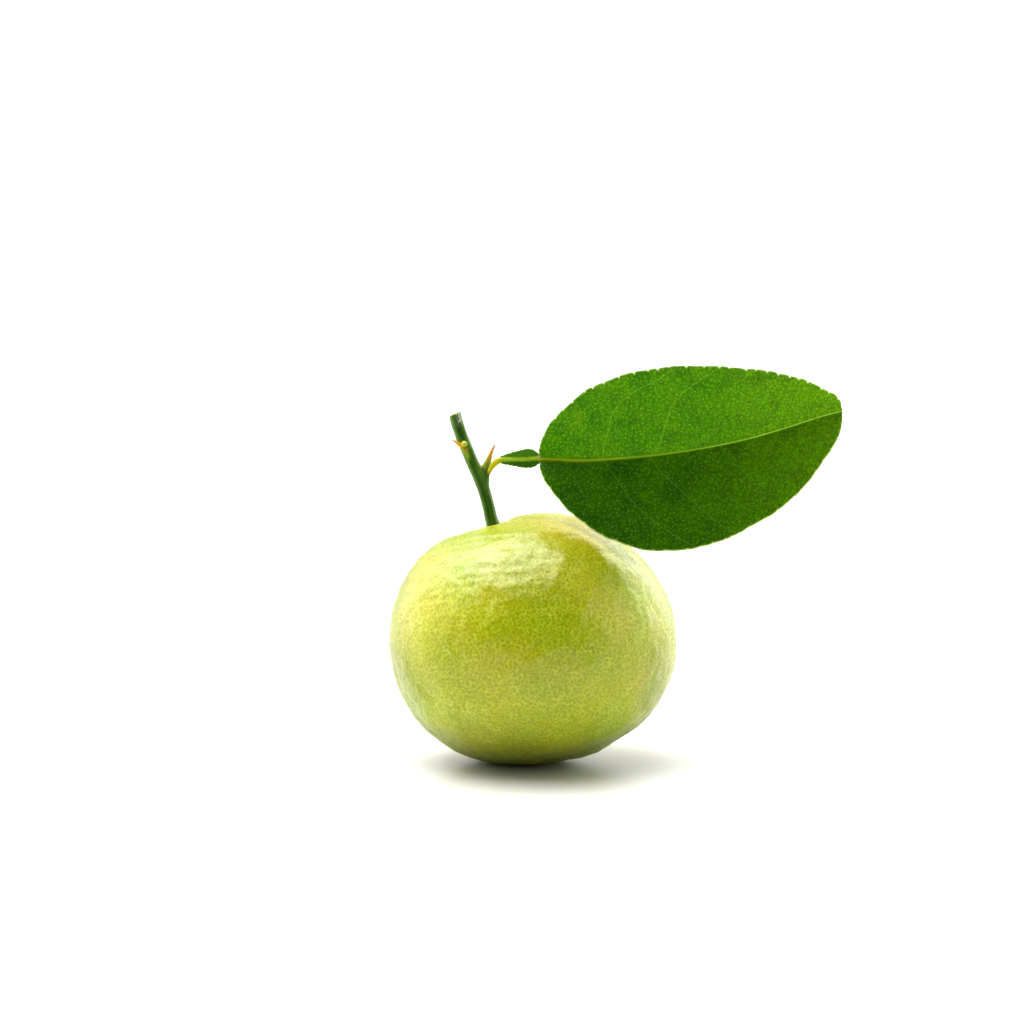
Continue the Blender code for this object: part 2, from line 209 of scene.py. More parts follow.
# ---- material helpers ------------------------------------------------------------
class Paint:
    """A node material with short names for the nodes it is made of."""

    def __init__(self, name):
        self.mat = bpy.data.materials.new(name)
        self.mat.use_nodes = True
        self.tree = self.mat.node_tree
        self.shader = self.tree.nodes["Principled BSDF"]
        self.out = self.tree.nodes["Material Output"]
        self.coords = None

    def link(self, a, b):
        self.tree.links.new(a, b)

    def put(self, socket, value):
        if isinstance(value, bpy.types.NodeSocket):
            self.link(value, socket)
        elif isinstance(value, tuple) and len(value) == 3 and socket.type == "RGBA":
            socket.default_value = (*value, 1)
        else:
            socket.default_value = value

    def attr(self, name, output="Fac"):
        node = self.tree.nodes.new("ShaderNodeAttribute")
        node.attribute_name = name
        return node.outputs[output]

    def mm(self):
        """Object coordinates in millimetres."""
        if self.coords is None:
            tex = self.tree.nodes.new("ShaderNodeTexCoord")
            scale = self.tree.nodes.new("ShaderNodeVectorMath")
            scale.operation = "SCALE"
            scale.inputs["Scale"].default_value = 1 / MM
            self.link(tex.outputs["Object"], scale.inputs[0])
            self.coords = scale.outputs[0]
        return self.coords

    def math(self, op, a, b=0.0, clamp=False):
        node = self.tree.nodes.new("ShaderNodeMath")
        node.operation = op
        node.use_clamp = clamp
        self.put(node.inputs[0], a)
        self.put(node.inputs[1], b)
        return node.outputs[0]

    def step(self, x, lo, hi, out_lo=0.0, out_hi=1.0):
        node = self.tree.nodes.new("ShaderNodeMapRange")
        node.interpolation_type = "SMOOTHSTEP"
        self.put(node.inputs["Value"], x)
        for key, value in (("From Min", lo), ("From Max", hi), ("To Min", out_lo), ("To Max", out_hi)):
            node.inputs[key].default_value = value
        return node.outputs["Result"]

    def mix(self, factor, a, b, blend="MIX"):
        node = self.tree.nodes.new("ShaderNodeMix")
        node.data_type = "RGBA"
        node.blend_type = blend
        node.clamp_factor = True
        self.put(node.inputs["Factor"], factor)
        self.put(node.inputs[6], a)
        self.put(node.inputs[7], b)
        return node.outputs[2]

    def noise(self, scale, detail=3.0, rough=0.55, vector=None, stretch=None):
        node = self.tree.nodes.new("ShaderNodeTexNoise")
        node.inputs["Scale"].default_value = scale
        node.inputs["Detail"].default_value = detail
        node.inputs["Roughness"].default_value = rough
        source = vector if vector is not None else self.mm()
        if stretch:
            mul = self.tree.nodes.new("ShaderNodeVectorMath")
            mul.operation = "MULTIPLY"
            self.link(source, mul.inputs[0])
            mul.inputs[1].default_value = stretch
            source = mul.outputs[0]
        self.link(source, node.inputs["Vector"])
        return node.outputs["Fac"]

    def cells(self, scale, vector, feature="F1", randomness=1.0, dims="2D"):
        node = self.tree.nodes.new("ShaderNodeTexVoronoi")
        node.voronoi_dimensions = dims
        node.feature = feature
        node.inputs["Scale"].default_value = scale
        node.inputs["Randomness"].default_value = randomness
        self.link(vector, node.inputs["Vector"])
        return node

    def bumped(self, height, strength, distance_mm, shader=None, normal=None):
        node = self.tree.nodes.new("ShaderNodeBump")
        node.inputs["Strength"].default_value = strength
        node.inputs["Distance"].default_value = distance_mm * MM
        self.put(node.inputs["Height"], height)
        if normal is not None:
            self.link(normal, node.inputs["Normal"])
        self.link(node.outputs["Normal"], (shader or self.shader).inputs["Normal"])
        return node.outputs["Normal"]

    def set(self, **values):
        for key, value in values.items():
            self.put(self.shader.inputs[key.replace("_", " ")], value)


# ---- camera -----------------------------------------------------------------------
AIM = np.array((-3.1, 0.0, 41.0))
PITCH = math.radians(6.25)
cam_data = bpy.data.cameras.new("camera")
cam_data.sensor_width = 36.0
cam_data.lens = 3077 * 36 / 1024
cam_data.clip_start, cam_data.clip_end = 0.02, 30.0
camera = bpy.data.objects.new("camera", cam_data)
camera.location = (AIM + 500 * np.array((0, -math.cos(PITCH), math.sin(PITCH)))) * MM
camera.rotation_euler = (math.pi / 2 - PITCH, 0, 0)
bpy.context.scene.collection.objects.link(camera)
bpy.context.scene.camera = camera


# ---- surroundings -------------------------------------------------------------------
def make_world():
    """A white tent with an open, dark front, as the soft dark patch on the fruit's skin shows it."""
    world = bpy.data.worlds.new("tent")
    bpy.context.scene.world = world
    world.use_nodes = True
    tree = world.node_tree
    tree.nodes.clear()

    def node(kind, **props):
        n = tree.nodes.new(kind)
        for key, value in props.items():
            setattr(n, key, value)
        return n

    def math_node(op, a, b=0.0):
        n = node("ShaderNodeMath", operation=op)
        for socket, value in zip(n.inputs, (a, b)):
            if isinstance(value, bpy.types.NodeSocket):
                tree.links.new(value, socket)
            else:
                socket.default_value = value
        return n.outputs[0]

    def ramp(x, lo, hi, a=0.0, b=1.0):
        n = node("ShaderNodeMapRange", interpolation_type="SMOOTHSTEP")
        tree.links.new(x, n.inputs["Value"])
        for key, value in (("From Min", lo), ("From Max", hi), ("To Min", a), ("To Max", b)):
            n.inputs[key].default_value = value
        return n.outputs["Result"]

    split = node("ShaderNodeSeparateXYZ")
    tree.links.new(node("ShaderNodeTexCoord").outputs["Generated"], split.inputs[0])
    x, y, z = split.outputs
    azimuth = math_node("DEGREES", math_node("ARCTAN2", x, math_node("MULTIPLY", y, -1.0)))
    height = math_node("DEGREES", math_node("ARCSINE", z))
    front = math_node("MULTIPLY", ramp(azimuth, -72, -44), ramp(azimuth, 46, 54, 1.0, 0.0))
    front = math_node("MULTIPLY", front, ramp(height, -16, -6))
    front = math_node("MULTIPLY", front, ramp(height, 52, 60, 1.0, 0.0))
    # Brighter panels at both sides and behind them, and a large one above on the left; open at the upper right.
    turned = math_node("ABSOLUTE", azimuth)
    panels = math_node("MULTIPLY", ramp(turned, 94, 114), ramp(azimuth, 142, 166, 1.0, 0.0))
    panels = math_node("MULTIPLY", panels, ramp(azimuth, -150, -134))
    bright = math_node("ADD", math_node("MULTIPLY", math_node("MULTIPLY", ramp(turned, 50, 68), ramp(turned, 148, 170, 1.0, 0.0)), SIDE_GLOW), TENT_GLOW)
    bright = math_node("ADD", bright, math_node("MULTIPLY", panels, PANEL_GLOW))
    behind = math_node("MULTIPLY", ramp(azimuth, 112, 130), ramp(azimuth, 166, 180, 1.0, 0.3))
    behind = math_node("MULTIPLY", behind, math_node("MULTIPLY", ramp(height, 4, 18), ramp(height, 62, 74, 1.0, 0.0)))
    bright = math_node("ADD", bright, math_node("MULTIPLY", behind, BEHIND_GLOW))
    raised = math_node("MULTIPLY", ramp(azimuth, -152, -134), ramp(azimuth, -95, -78, 1.0, 0.0))
    bright = math_node("ADD", bright, math_node("MULTIPLY", math_node("MULTIPLY", raised, ramp(height, 20, 34)), UPPER_GLOW))
    opening = math_node("MULTIPLY", ramp(azimuth, 26, 40), ramp(azimuth, 116, 130, 1.0, 0.0))
    opening = math_node("MULTIPLY", opening, math_node("MULTIPLY", ramp(height, 34, 44), ramp(height, 78, 86, 1.0, 0.0)))
    front = math_node("MAXIMUM", front, math_node("MULTIPLY", opening, 0.85))
    level = math_node("ADD", math_node("MULTIPLY", bright, math_node("SUBTRACT", 1.0, front)), math_node("MULTIPLY", front, FRONT_GLOW))
    seen = node("ShaderNodeLightPath").outputs["Is Camera Ray"]
    mixed = node("ShaderNodeMix", data_type="FLOAT")
    tree.links.new(seen, mixed.inputs["Factor"])
    tree.links.new(level, mixed.inputs["A"])
    mixed.inputs["B"].default_value = 1.05
    background = node("ShaderNodeBackground")
    background.inputs["Color"].default_value = (1.0, 0.995, 0.985, 1)
    tree.links.new(mixed.outputs["Result"], background.inputs["Strength"])
    tree.links.new(background.outputs[0], node("ShaderNodeOutputWorld").inputs["Surface"])


TENT_GLOW, SIDE_GLOW, PANEL_GLOW, UPPER_GLOW, BEHIND_GLOW, FRONT_GLOW = 1.0, 0.80, 1.35, 1.2, 1.0, 0.03


def make_softbox(name, place, width, length, glow):
    """A square light overhead, facing down: glow is its brightness against the tent's."""
    light = bpy.data.lights.new(name, "AREA")
    light.shape = "RECTANGLE"
    light.size, light.size_y = width, length
    light.energy = glow * math.pi * width * length
    light.color = (1.0, 0.99, 0.97)
    lamp = bpy.data.objects.new(name, light)
    lamp.location = place
    lamp.visible_camera = False
    bpy.context.scene.collection.objects.link(lamp)


def make_floor():
    mesh = bpy.data.meshes.new("floor")
    n, radius = 96, 3.0
    ring = [(radius * math.cos(2 * math.pi * k / n), radius * math.sin(2 * math.pi * k / n), 0) for k in range(n)]
    mesh.from_pydata(ring, [], [list(range(n))])
    floor = bpy.data.objects.new("floor", mesh)
    bpy.context.scene.collection.objects.link(floor)
    paint = Paint("floor_white")
    paint.set(Base_Color=(0.73, 0.725, 0.72), Roughness=0.28, IOR=1.45)
    mesh.materials.append(paint.mat)


make_world()
make_softbox("softbox", (-0.175, 0.02, 0.62), 0.65, 0.62, 4.0)
make_softbox("strip", (-0.09, 0.15, 0.61), 0.40, 0.12, 2.6)
make_floor()
bpy.context.scene.view_settings.view_transform = "Standard"
bpy.context.scene.view_settings.look = "None"
bpy.context.scene.view_settings.exposure = 0.0
bpy.context.scene.view_settings.gamma = 0.85  # the contrast of the picture that this follows


# ---- fruit ---------------------------------------------------------------------------
GLANDS = 16300
# Tints of the skin: direction from the fruit's middle, width in degrees, amount of green, amount of yellow.
TINTS = (
    ((-0.50, -0.52, 0.69), 15, 0.25, 0.0),
    ((-0.84, -0.32, -0.44), 24, 0.45, 0.0),
    ((0.60, -0.50, -0.62), 22, 0.65, 0.0),
    ((0.31, -0.19, 0.93), 22, 0.0, 0.90),
    ((-0.30, -0.83, 0.47), 8, 0.0, 0.30),
    ((-0.28, -0.95, 0.02), 11, 0.0, 0.30),
    ((-0.17, -0.96, -0.20), 8, 0.0, 0.22),
    ((0.20, -0.95, 0.20), 11, 0.35, 0.0),
    ((0.42, -0.72, 0.55), 9, 0.0, 0.30),
    ((-0.79, -0.53, 0.31), 20, 0.0, 0.45),
    ((0.86, 0.40, 0.10), 28, 0.35, 0.0),
    ((-0.40, 0.85, 0.25), 34, 0.0, 0.45),
    ((0.30, 0.85, -0.40), 26, 0.50, 0.0),
    ((-0.316, 0.117, 0.84), 24, 0.45, 0.0),
)


def skin_net(count):
    """Unit directions of the oil glands, evenly but irregularly spread, and the triangles between them."""
    k = np.arange(count) + 0.5
    polar, turn = np.arccos(1 - 2 * k / count), math.pi * (1 + 5**0.5) * k
    d = np.stack([np.cos(turn) * np.sin(polar), np.sin(turn) * np.sin(polar), np.cos(polar)], 1)
    spacing = math.sqrt(4 * math.pi / count * 1.1547)
    d += rng.normal(scale=0.55 * spacing, size=d.shape)
    for relax in (True, False):
        d /= np.linalg.norm(d, axis=1)[:, None]
        bm = bmesh.new()
        for p in d:
            bm.verts.new(p)
        bmesh.ops.convex_hull(bm, input=bm.verts[:], use_existing_faces=False)
        bm.verts.index_update()
        tri = np.array([[v.index for v in f.verts] for f in bm.faces])
        bm.free()
        if relax:
            centre = d[tri].mean(1)
            total, weight = np.zeros_like(d), np.zeros(len(d))
            for c in range(3):
                np.add.at(total, tri[:, c], centre)
                np.add.at(weight, tri[:, c], 1)
            kept = weight > 0
            d = (0.6 * d + 0.4 * total / np.maximum(weight, 1)[:, None])[kept]
    used = np.unique(tri)
    slots = np.full(len(d), -1)
    slots[used] = np.arange(len(used))
    d, tri = d[used], slots[tri]
    centre = d[tri].mean(1)
    flip = np.einsum("ij,ij->i", np.cross(d[tri[:, 1]] - d[tri[:, 0]], d[tri[:, 2]] - d[tri[:, 0]]), centre) < 0
    tri[flip] = tri[flip][:, ::-1]
    return d, tri


def vertex_normals(p, tri):
    n = np.cross(p[tri[:, 1]] - p[tri[:, 0]], p[tri[:, 2]] - p[tri[:, 0]])
    out = np.zeros_like(p)
    for c in range(3):
        np.add.at(out, tri[:, c], n)
    return out / np.linalg.norm(out, axis=1)[:, None]


def make_fruit():
    d, tri = skin_net(GLANDS)
    glands, faces = len(d), len(tri)
    pairs = np.sort(np.concatenate([tri[:, [0, 1]], tri[:, [1, 2]], tri[:, [2, 0]]]), 1)
    edges, where = np.unique(pairs, axis=0, return_inverse=True)
    where = where.reshape(-1)
    ab, bc, ca = (where[k * faces : (k + 1) * faces] + glands for k in range(3))
    middle = np.arange(faces) + glands + len(edges)
    a, b, c = tri.T
    fine = np.concatenate([np.stack(t, 1) for t in ((a, ab, middle), (ab, b, middle), (b, bc, middle), (bc, c, middle), (c, ca, middle), (ca, a, middle))])
    every = np.concatenate([d, d[edges].mean(1), d[tri].mean(1)])
    every /= np.linalg.norm(every, axis=1)[:, None]
    base = fruit_points(every)
    normal = vertex_normals(base, fine)

    size = rng.uniform(0, 1, glands)
    cell = np.concatenate([np.zeros(glands), np.full(len(edges), 0.86), np.ones(faces)])
    tone = np.concatenate([size, size[edges].mean(1), size[tri].mean(1)])
    stem, style = unit(STEM_END), unit(STYLE_END)
    near_stem = np.degrees(np.arccos(np.clip(every @ stem, -1, 1)))
    near_style = np.degrees(np.arccos(np.clip(every @ style, -1, 1)))
    # Low swells of the skin, then the glands' dimples with the walls standing between them.
    swell = 0.075 * ripples(base, 6.5, 1) + 0.035 * ripples(base, 2.6, 2) + 0.012 * ripples(base, 1.2, 3)
    # Fine wrinkles that run round the fruit, near the stem end.
    wrinkled = 0.050 * ripples(base * (0.33, 0.6, 1.5), 1.8, 6) * smooth(78, 48, near_stem) + 0.022 * ripples(base * (1.4, 1.4, 0.5), 2.0, 7) * smooth(70, 100, near_stem)
    swell = swell + wrinkled
    depth = 0.030 + 0.030 * tone + 0.012 * ripples(base, 4.0, 4)
    relief = -depth * (1 - cell) ** 1.0 + 0.012 * cell * (0.5 + 0.5 * ripples(base, 1.6, 5))
    relief *= 1 - 0.5 * bump(near_stem, 9)
    scar = 0.05 * bump(near_style - 4.2, 1.2) - 0.10 * bump(near_style, 2.4)
    p = base + normal * (swell + relief + scar)[:, None]
    p[:, 2] = 0.5 * (p[:, 2] + np.sqrt(p[:, 2] ** 2 + 0.09**2))

    green, yellow = np.zeros(len(p)), np.zeros(len(p))
    for direction, width, more_green, more_yellow in TINTS:
        away = np.degrees(np.arccos(np.clip(every @ unit(direction), -1, 1)))
        away = away * (1 + 0.18 * ripples(base, 9.0, 11))
        green += more_green * bump(away, width)
        yellow += more_yellow * bump(away, width)
    green += 0.10 * ripples(base, 12.0, 12)
    yellow += 0.13 * ripples(base, 10.0, 13)
    blush = 0.2 * bump(np.degrees(np.arccos(np.clip(every @ unit((0.84, -0.5, 0.19)), -1, 1))), 3.0)
    tip = bump(near_style, 2.6)
    collar = bump(near_stem - 6.5, 3.2)
    # Painted light and shade on the skin: a little paler round the lower half, with painted shade at the very bottom,
    # towards the stem end and on the lower flanks and the left side.
    level = base[:, 2] + 1.5 * ripples(base, 14.0, 14)
    shaded_flanks = smooth(14.5, 21, np.abs(base[:, 0])) * smooth(22, 12, level) + 0.7 * smooth(17, 22.5, -base[:, 0]) * smooth(12, 20, level)
    painted_shade = 1 + 0.08 * smooth(20, 10, level) - 0.36 * smooth(11, 3, level) - 0.20 * smooth(24, 36, level) - 0.36 * shaded_flanks
    masks = dict(cell=cell, tone=tone, green=np.clip(green, 0, 1), yellow=np.clip(yellow, 0, 1), blush=blush, tip=tip, collar=collar, painted_shade=painted_shade)

    paint = Paint("rind")
    cellf, tonef = paint.attr("cell"), paint.attr("tone")
    grain, fleck = paint.noise(2.6, 3.0), paint.noise(0.55, 2.0)
    patchy = paint.noise(0.17, 4.0, 0.6)
    # The pale net between the glands: the modelled walls, broken up by a finer, looser net.
    finer = paint.step(paint.cells(1 / 0.56, paint.mm(), dims="3D").outputs["Distance"], 0.22, 0.62)
    both = paint.math("ADD", paint.math("MULTIPLY", cellf, 0.72), paint.math("MULTIPLY", finer, 0.36))
    wall = paint.step(paint.math("ADD", both, paint.math("MULTIPLY", paint.math("SUBTRACT", grain, 0.5), 0.8)), 0.42, 1.10)
    gland = paint.mix(tonef, GLAND_DARK, GLAND_LIGHT)
    gland = paint.mix(paint.math("MULTIPLY", paint.step(patchy, 0.40, 0.72), 0.55), gland, GLAND_GOLD)
    gland = paint.mix(paint.math("MULTIPLY", paint.attr("green"), 0.75), gland, GLAND_GREEN)
    gland = paint.mix(paint.math("MULTIPLY", paint.attr("yellow"), 0.8), gland, GLAND_YELLOW)
    net = paint.mix(paint.step(fleck, 0.35, 0.7), WALL_A, WALL_B)
    net = paint.mix(paint.math("MULTIPLY", paint.attr("green"), 0.7), net, WALL_GREEN)
    net = paint.mix(paint.math("MULTIPLY", paint.attr("yellow"), 0.8), net, WALL_YELLOW)
    colour = paint.mix(wall, gland, net)
    # Multiply in the painted light and shade.
    colour = paint.mix(1.0, colour, paint.attr("painted_shade"), "MULTIPLY")
    colour = paint.mix(paint.attr("blush"), colour, (0.62, 0.40, 0.22))
    colour = paint.mix(paint.math("MULTIPLY", paint.attr("collar"), 0.35), colour, (0.36, 0.42, 0.09))
    colour = paint.mix(paint.math("MULTIPLY", paint.attr("tip"), 0.8), colour, (0.19, 0.13, 0.035))
    speck = paint.cells(0.22, paint.mm(), dims="3D")
    speckle = paint.math("MULTIPLY", paint.step(speck.outputs["Distance"], 0.035, 0.075, 1.0, 0.0), 0.45)
    colour = paint.mix(speckle, colour, (0.30, 0.24, 0.04))
    paint.set(Base_Color=colour, IOR=1.5)
    paint.shader.inputs["Specular IOR Level"].default_value = 0.62  # waxy
    shine = paint.math("ADD", paint.math("MULTIPLY", grain, 0.10), paint.math("MULTIPLY", cellf, -0.03))
    paint.set(Roughness=paint.math("ADD", shine, 0.26))
    paint.shader.inputs["Subsurface Weight"].default_value = 0.10
    paint.shader.inputs["Subsurface Radius"].default_value = (1.0, 0.8, 0.15)
    paint.shader.inputs["Subsurface Scale"].default_value = 0.0012
    paint.bumped(paint.noise(5.5, 2.0), 0.25, 0.02)
    return new_piece("fruit_rind", p, fine.tolist(), masks, paint.mat, "fruit")


GLAND_DARK, GLAND_LIGHT = (0.265, 0.33, 0.0), (0.345, 0.405, 0.0)
GLAND_GREEN, GLAND_YELLOW, GLAND_GOLD = (0.21, 0.375, 0.0), (0.51, 0.40, 0.0), (0.41, 0.355, 0.0)
WALL_A, WALL_B = (0.44, 0.495, 0.010), (0.515, 0.56, 0.036)
WALL_GREEN, WALL_YELLOW = (0.35, 0.55, 0.025), (0.66, 0.555, 0.012)


# ---- calyx ---------------------------------------------------------------------------
def make_calyx():
    """The small star of five blunt sepals under the stem, dried at its tips."""
    stem = unit(STEM_END)
    side = unit(np.cross(stem, (0, 1, 0)))
    across = np.cross(stem, side)
    spokes = 120
    turn = 2 * math.pi * np.arange(spokes) / spokes
    reach = np.concatenate([np.linspace(0.30, 0.96, 16), [0.99, 1.0]])
    lobes = np.cos(5 * turn)
    low, high, out = [], [], []
    for share in reach:
        radius = (1.72 + 0.34 * lobes - 0.10 * np.cos(10 * turn) + 0.05 * np.cos(17 * turn + 1)) * share
        lean = np.arcsin(radius / 18.0)
        d = np.cos(lean)[:, None] * stem + np.sin(lean)[:, None] * (np.cos(turn)[:, None] * side + np.sin(turn)[:, None] * across)
        foot = fruit_points(d) + stem * 0.10
        ribs = 0.05 * np.cos(15 * turn + 0.4) * share + 0.05 * lobes
        rise = (0.56 - 0.30 * share**2 + ribs) * (1.0 if share < 0.97 else (0.7 if share < 1 else 0.35))
        low.append(foot)
        high.append(foot + stem * (0.22 + rise)[:, None])
        out.append(np.full(spokes, share))
    rings = np.array(low + high[::-1])
    verts, faces = loft(rings)
    share = with_ends(np.array(out + out[::-1]))
    verts = verts + 0.02 * ripples(verts, 0.7, 21)[:, None] * stem
    paint = Paint("calyx_star")
    grain = paint.noise(3.0, 4.0)
    colour = paint.mix(paint.step(grain, 0.3, 0.7), (0.09, 0.15, 0.025), (0.15, 0.22, 0.05))
    edge = paint.step(paint.math("ADD", paint.attr("share"), paint.math("MULTIPLY", grain, 0.3)), 0.95, 1.2)
    colour = paint.mix(edge, colour, (0.24, 0.16, 0.07))
    paint.set(Base_Color=colour, Roughness=paint.step(grain, 0.2, 0.8, 0.5, 0.7))
    paint.bumped(paint.noise(7.0, 3.0), 0.4, 0.05)
    return new_piece("calyx_star", verts, faces, dict(share=share), paint.mat, "calyx")


# ---- stem ----------------------------------------------------------------------------
def make_stem():
    """Ridged green twig with a swollen node, a squarely cut end and a torn notch in it."""
    sections, count = 84, 230
    path = smooth_curve(STEM_PATH, count)
    tangent, side, deep = frames_along(path)
    a = 2 * math.pi * np.arange(sections) / sections  # 0 is the leaf's side, -90 degrees is the front
    z = path[:, 2][:, None]
    run = np.linspace(0, 1, count)[:, None]
    length = np.linalg.norm(np.diff(path, axis=0), axis=1).sum()
    twist = 0.10 * np.sin(run * 5.0 + 0.5)
    turn = a[None] + twist
    # Flat-sided section: five blunt ridges with shallow channels, one channel at the front.
    front = math.pi * 1.5 + 0.04
    spread = np.angle(np.exp(1j * (turn - front)))
    shaded_channel = bump(spread, 0.20)
    ridged = 0.045 * np.cos(5 * (turn - front) + math.pi) - 0.010 * np.cos(10 * (turn - front))
    r = STEM_RADIUS * (1 + ridged) - 0.035 * shaded_channel + 0.12 * np.exp(-((run * (count - 1) / 20.0) ** 2))
    r = r + NODE_BULGE * np.maximum(0.0, np.cos(turn)) ** 2 * np.exp(-(((z - NODE_HEIGHT) / 1.25) ** 2))
    # The node runs up into the foot of the thorn and leaf stalk.
    lip = bump(np.angle(np.exp(1j * (turn - math.radians(-36)))), 0.75) * bump(z - 46.8, 0.95)
    r = r + 0.26 * lip
    # A low swelling under the upper thorn and bud, with the scar of a fallen leaf in front.
    pad_turn = np.angle(np.exp(1j * (turn - math.radians(-112))))
    pad = bump(pad_turn, 0.75) * bump(z - 51.55, 0.75)
    scar = bump(np.angle(np.exp(1j * (turn - math.radians(-107)))), 0.30) * bump(z - 51.05, 0.19)
    r = r + 0.26 * pad + 0.08 * scar
    centre = path[:, None]
    ring = centre + side[:, None] * (r * np.cos(a))[..., None] + deep[:, None] * (r * np.sin(a))[..., None]
    flat = ring.reshape(-1, 3)
    rough = (0.012 * ripples(flat, 0.9, 31) + 0.010 * ripples(flat * (1, 1, 0.25), 0.5, 32)).reshape(count, sections)
    ring = ring + side[:, None] * (rough * np.cos(a))[..., None] + deep[:, None] * (rough * np.sin(a))[..., None]

    # The torn notch at the cut: a crack down the front, right of its middle, and a loose sliver beside it.
    from_top = (1 - run) * length
    crack_turn = np.angle(np.exp(1j * (turn - math.radians(-68))))
    crack = bump(crack_turn + 0.08 * np.sin(from_top * 4), 0.16) * smooth(1.55, 0.2, from_top)
    ring = ring - (side[:, None] * np.cos(a)[None, :, None] + deep[:, None] * np.sin(a)[None, :, None]) * (0.42 * crack)[..., None]
    wound = bump(crack_turn - 0.20 * np.sin(from_top * 2.2), 0.42) * smooth(2.3, 0.9, from_top)
    burnt = bump(np.angle(np.exp(1j * (turn - math.radians(-88)))) - 0.15 * np.sin(from_top * 1.7), 0.42) * smooth(4.3, 3.2, from_top) * smooth(0.9, 1.8, from_top)

    # Cap rings: the cut face, a little uneven, sunk at the pith.
    cap_shares = (0.97, 0.90, 0.78, 0.62, 0.45, 0.28, 0.12)
    up = tangent[-1]
    tops, end = [], ring[-1]
    middle = end.mean(0)
    for share in cap_shares:
        level = middle + (end - middle) * share
        height = 0.10 * (1 - share) ** 0.5 * np.sin(1.3 * a + 2) + 0.06 * ripples(level, 0.45, 33) - 0.10 * (share < 0.2)
        notch = bump(crack_turn[-1], 0.20) * smooth(0.1, 0.8, share)
        tops.append(level + up * (height + 0.05 * (share > 0.9) - 0.28 * notch)[:, None])
    tops = np.array(tops)
    # The cut slants a little, higher on the leaf's side.
    slant = smooth(1.2, 0.0, from_top)[..., None] * up * (0.16 + 0.13 * np.cos(a))[None, :, None]
    ring = ring + slant
    tops = tops + up * (0.16 + 0.13 * np.array(cap_shares)[:, None] * np.cos(a)[None])[..., None]
    rings = np.concatenate([ring, tops])
    verts, faces = loft(rings)

    def full(values, cap):
        values = np.broadcast_to(values, (count, sections))
        caps = np.array([np.full(sections, cap(share)) if callable(cap) else np.full(sections, cap) for share in cap_shares])
        return with_ends(np.concatenate([values, caps]))

    flank = np.cos(np.clip(spread, -math.pi, math.pi) * 1.0)
    node_glow = bump(np.angle(np.exp(1j * (turn - math.radians(-30)))), 0.9) * bump(z - 47.2, 0.95)
    streak = bump(np.angle(np.exp(1j * (turn - math.radians(-109)))), 0.38) * smooth(48.9, 50.3, z) * smooth(51.35, 51.0, z)
    masks = dict(
        # Where painted shade darkens the front channel.
        shaded_channel=full(bump(spread, 0.50) * smooth(38.5, 41.0, z + 0 * spread), 0.0),
        wound=full(wound, 0.0),
        burnt=full(burnt, 0.0),
        cut=full(smooth(0.10, 0.0, from_top) * np.ones(sections), lambda s: 1.0),
        pith=full(0.0 * turn, lambda s: 1 - s),
        node=full(0.6 * np.clip(node_glow, 0, 1), 0.0),
        streak=full(streak, 0.0),
        scar=full(np.clip(scar * 1.6, 0, 1), 0.0),
        pad=full(pad, 0.0),
        away=full(np.clip((1 + flank) / 2, 0, 1), 1.0),
    )
    paint = Paint("stem_bark")
    lines = paint.noise(2.2, 4.0, 0.6, stretch=(3.2, 3.2, 0.35))
    blots = paint.noise(0.8, 3.0)
    colour = paint.mix(paint.step(lines, 0.3, 0.7), (0.064, 0.148, 0.008), (0.104, 0.215, 0.022))
    colour = paint.mix(paint.math("MULTIPLY", paint.step(blots, 0.45, 0.75), 0.35), colour, (0.12, 0.22, 0.04))
    # Painted shade: dark green down the front channel.
    colour = paint.mix(paint.math("MULTIPLY", paint.attr("shaded_channel"), 0.85), colour, (0.026, 0.100, 0.0))
    colour = paint.mix(paint.math("MULTIPLY", paint.attr("node"), 0.65), colour, (0.17, 0.27, 0.03))
    colour = paint.mix(paint.math("MULTIPLY", paint.attr("streak"), 0.95), colour, (0.34, 0.46, 0.015))
    colour = paint.mix(paint.math("MULTIPLY", paint.attr("pad"), 0.55), colour, (0.24, 0.32, 0.02))
    colour = paint.mix(paint.attr("scar"), colour, (0.52, 0.24, 0.05))
    specks = paint.step(paint.noise(5.5, 3.0, 0.7), 0.47, 0.58)
    colour = paint.mix(paint.math("MULTIPLY", paint.attr("burnt"), paint.math("ADD", paint.math("MULTIPLY", specks, 0.6), 0.4)), colour, (0.014, 0.05, 0.004))
    torn = paint.math("MULTIPLY", paint.attr("wound"), paint.step(paint.noise(4.0, 3.0, 0.7, stretch=(1, 1, 0.4)), 0.36, 0.56))
    colour = paint.mix(torn, colour, (0.62, 0.66, 0.52))
    dark_bits = paint.math("MULTIPLY", paint.attr("wound"), paint.step(paint.noise(6.5, 2.0, 0.6), 0.56, 0.64))
    colour = paint.mix(dark_bits, colour, (0.02, 0.045, 0.012))
    wood = paint.mix(paint.step(paint.noise(6.0, 3.0), 0.35, 0.65), (0.26, 0.36, 0.10), (0.52, 0.58, 0.28))
    wood = paint.mix(paint.step(paint.attr("pith"), 0.55, 0.75), wood, (0.66, 0.66, 0.46))
    colour = paint.mix(paint.math("MULTIPLY", paint.attr("cut"), 0.85), colour, wood)
    pores = paint.math("MULTIPLY", paint.step(paint.cells(3.2, paint.mm(), dims="3D").outputs["Distance"], 0.10, 0.18, 1.0, 0.0), 0.5)
    colour = paint.mix(paint.math("MULTIPLY", pores, paint.math("SUBTRACT", 1.0, paint.attr("cut"))), colour, (0.16, 0.26, 0.10))
    paint.set(Base_Color=colour, Roughness=paint.step(lines, 0.2, 0.8, 0.36, 0.52), IOR=1.45)
    paint.shader.inputs["Specular IOR Level"].default_value = 0.22
    paint.bumped(lines, 0.35, 0.05)
    return new_piece("stem_twig", verts, faces, masks, paint.mat, "stem")


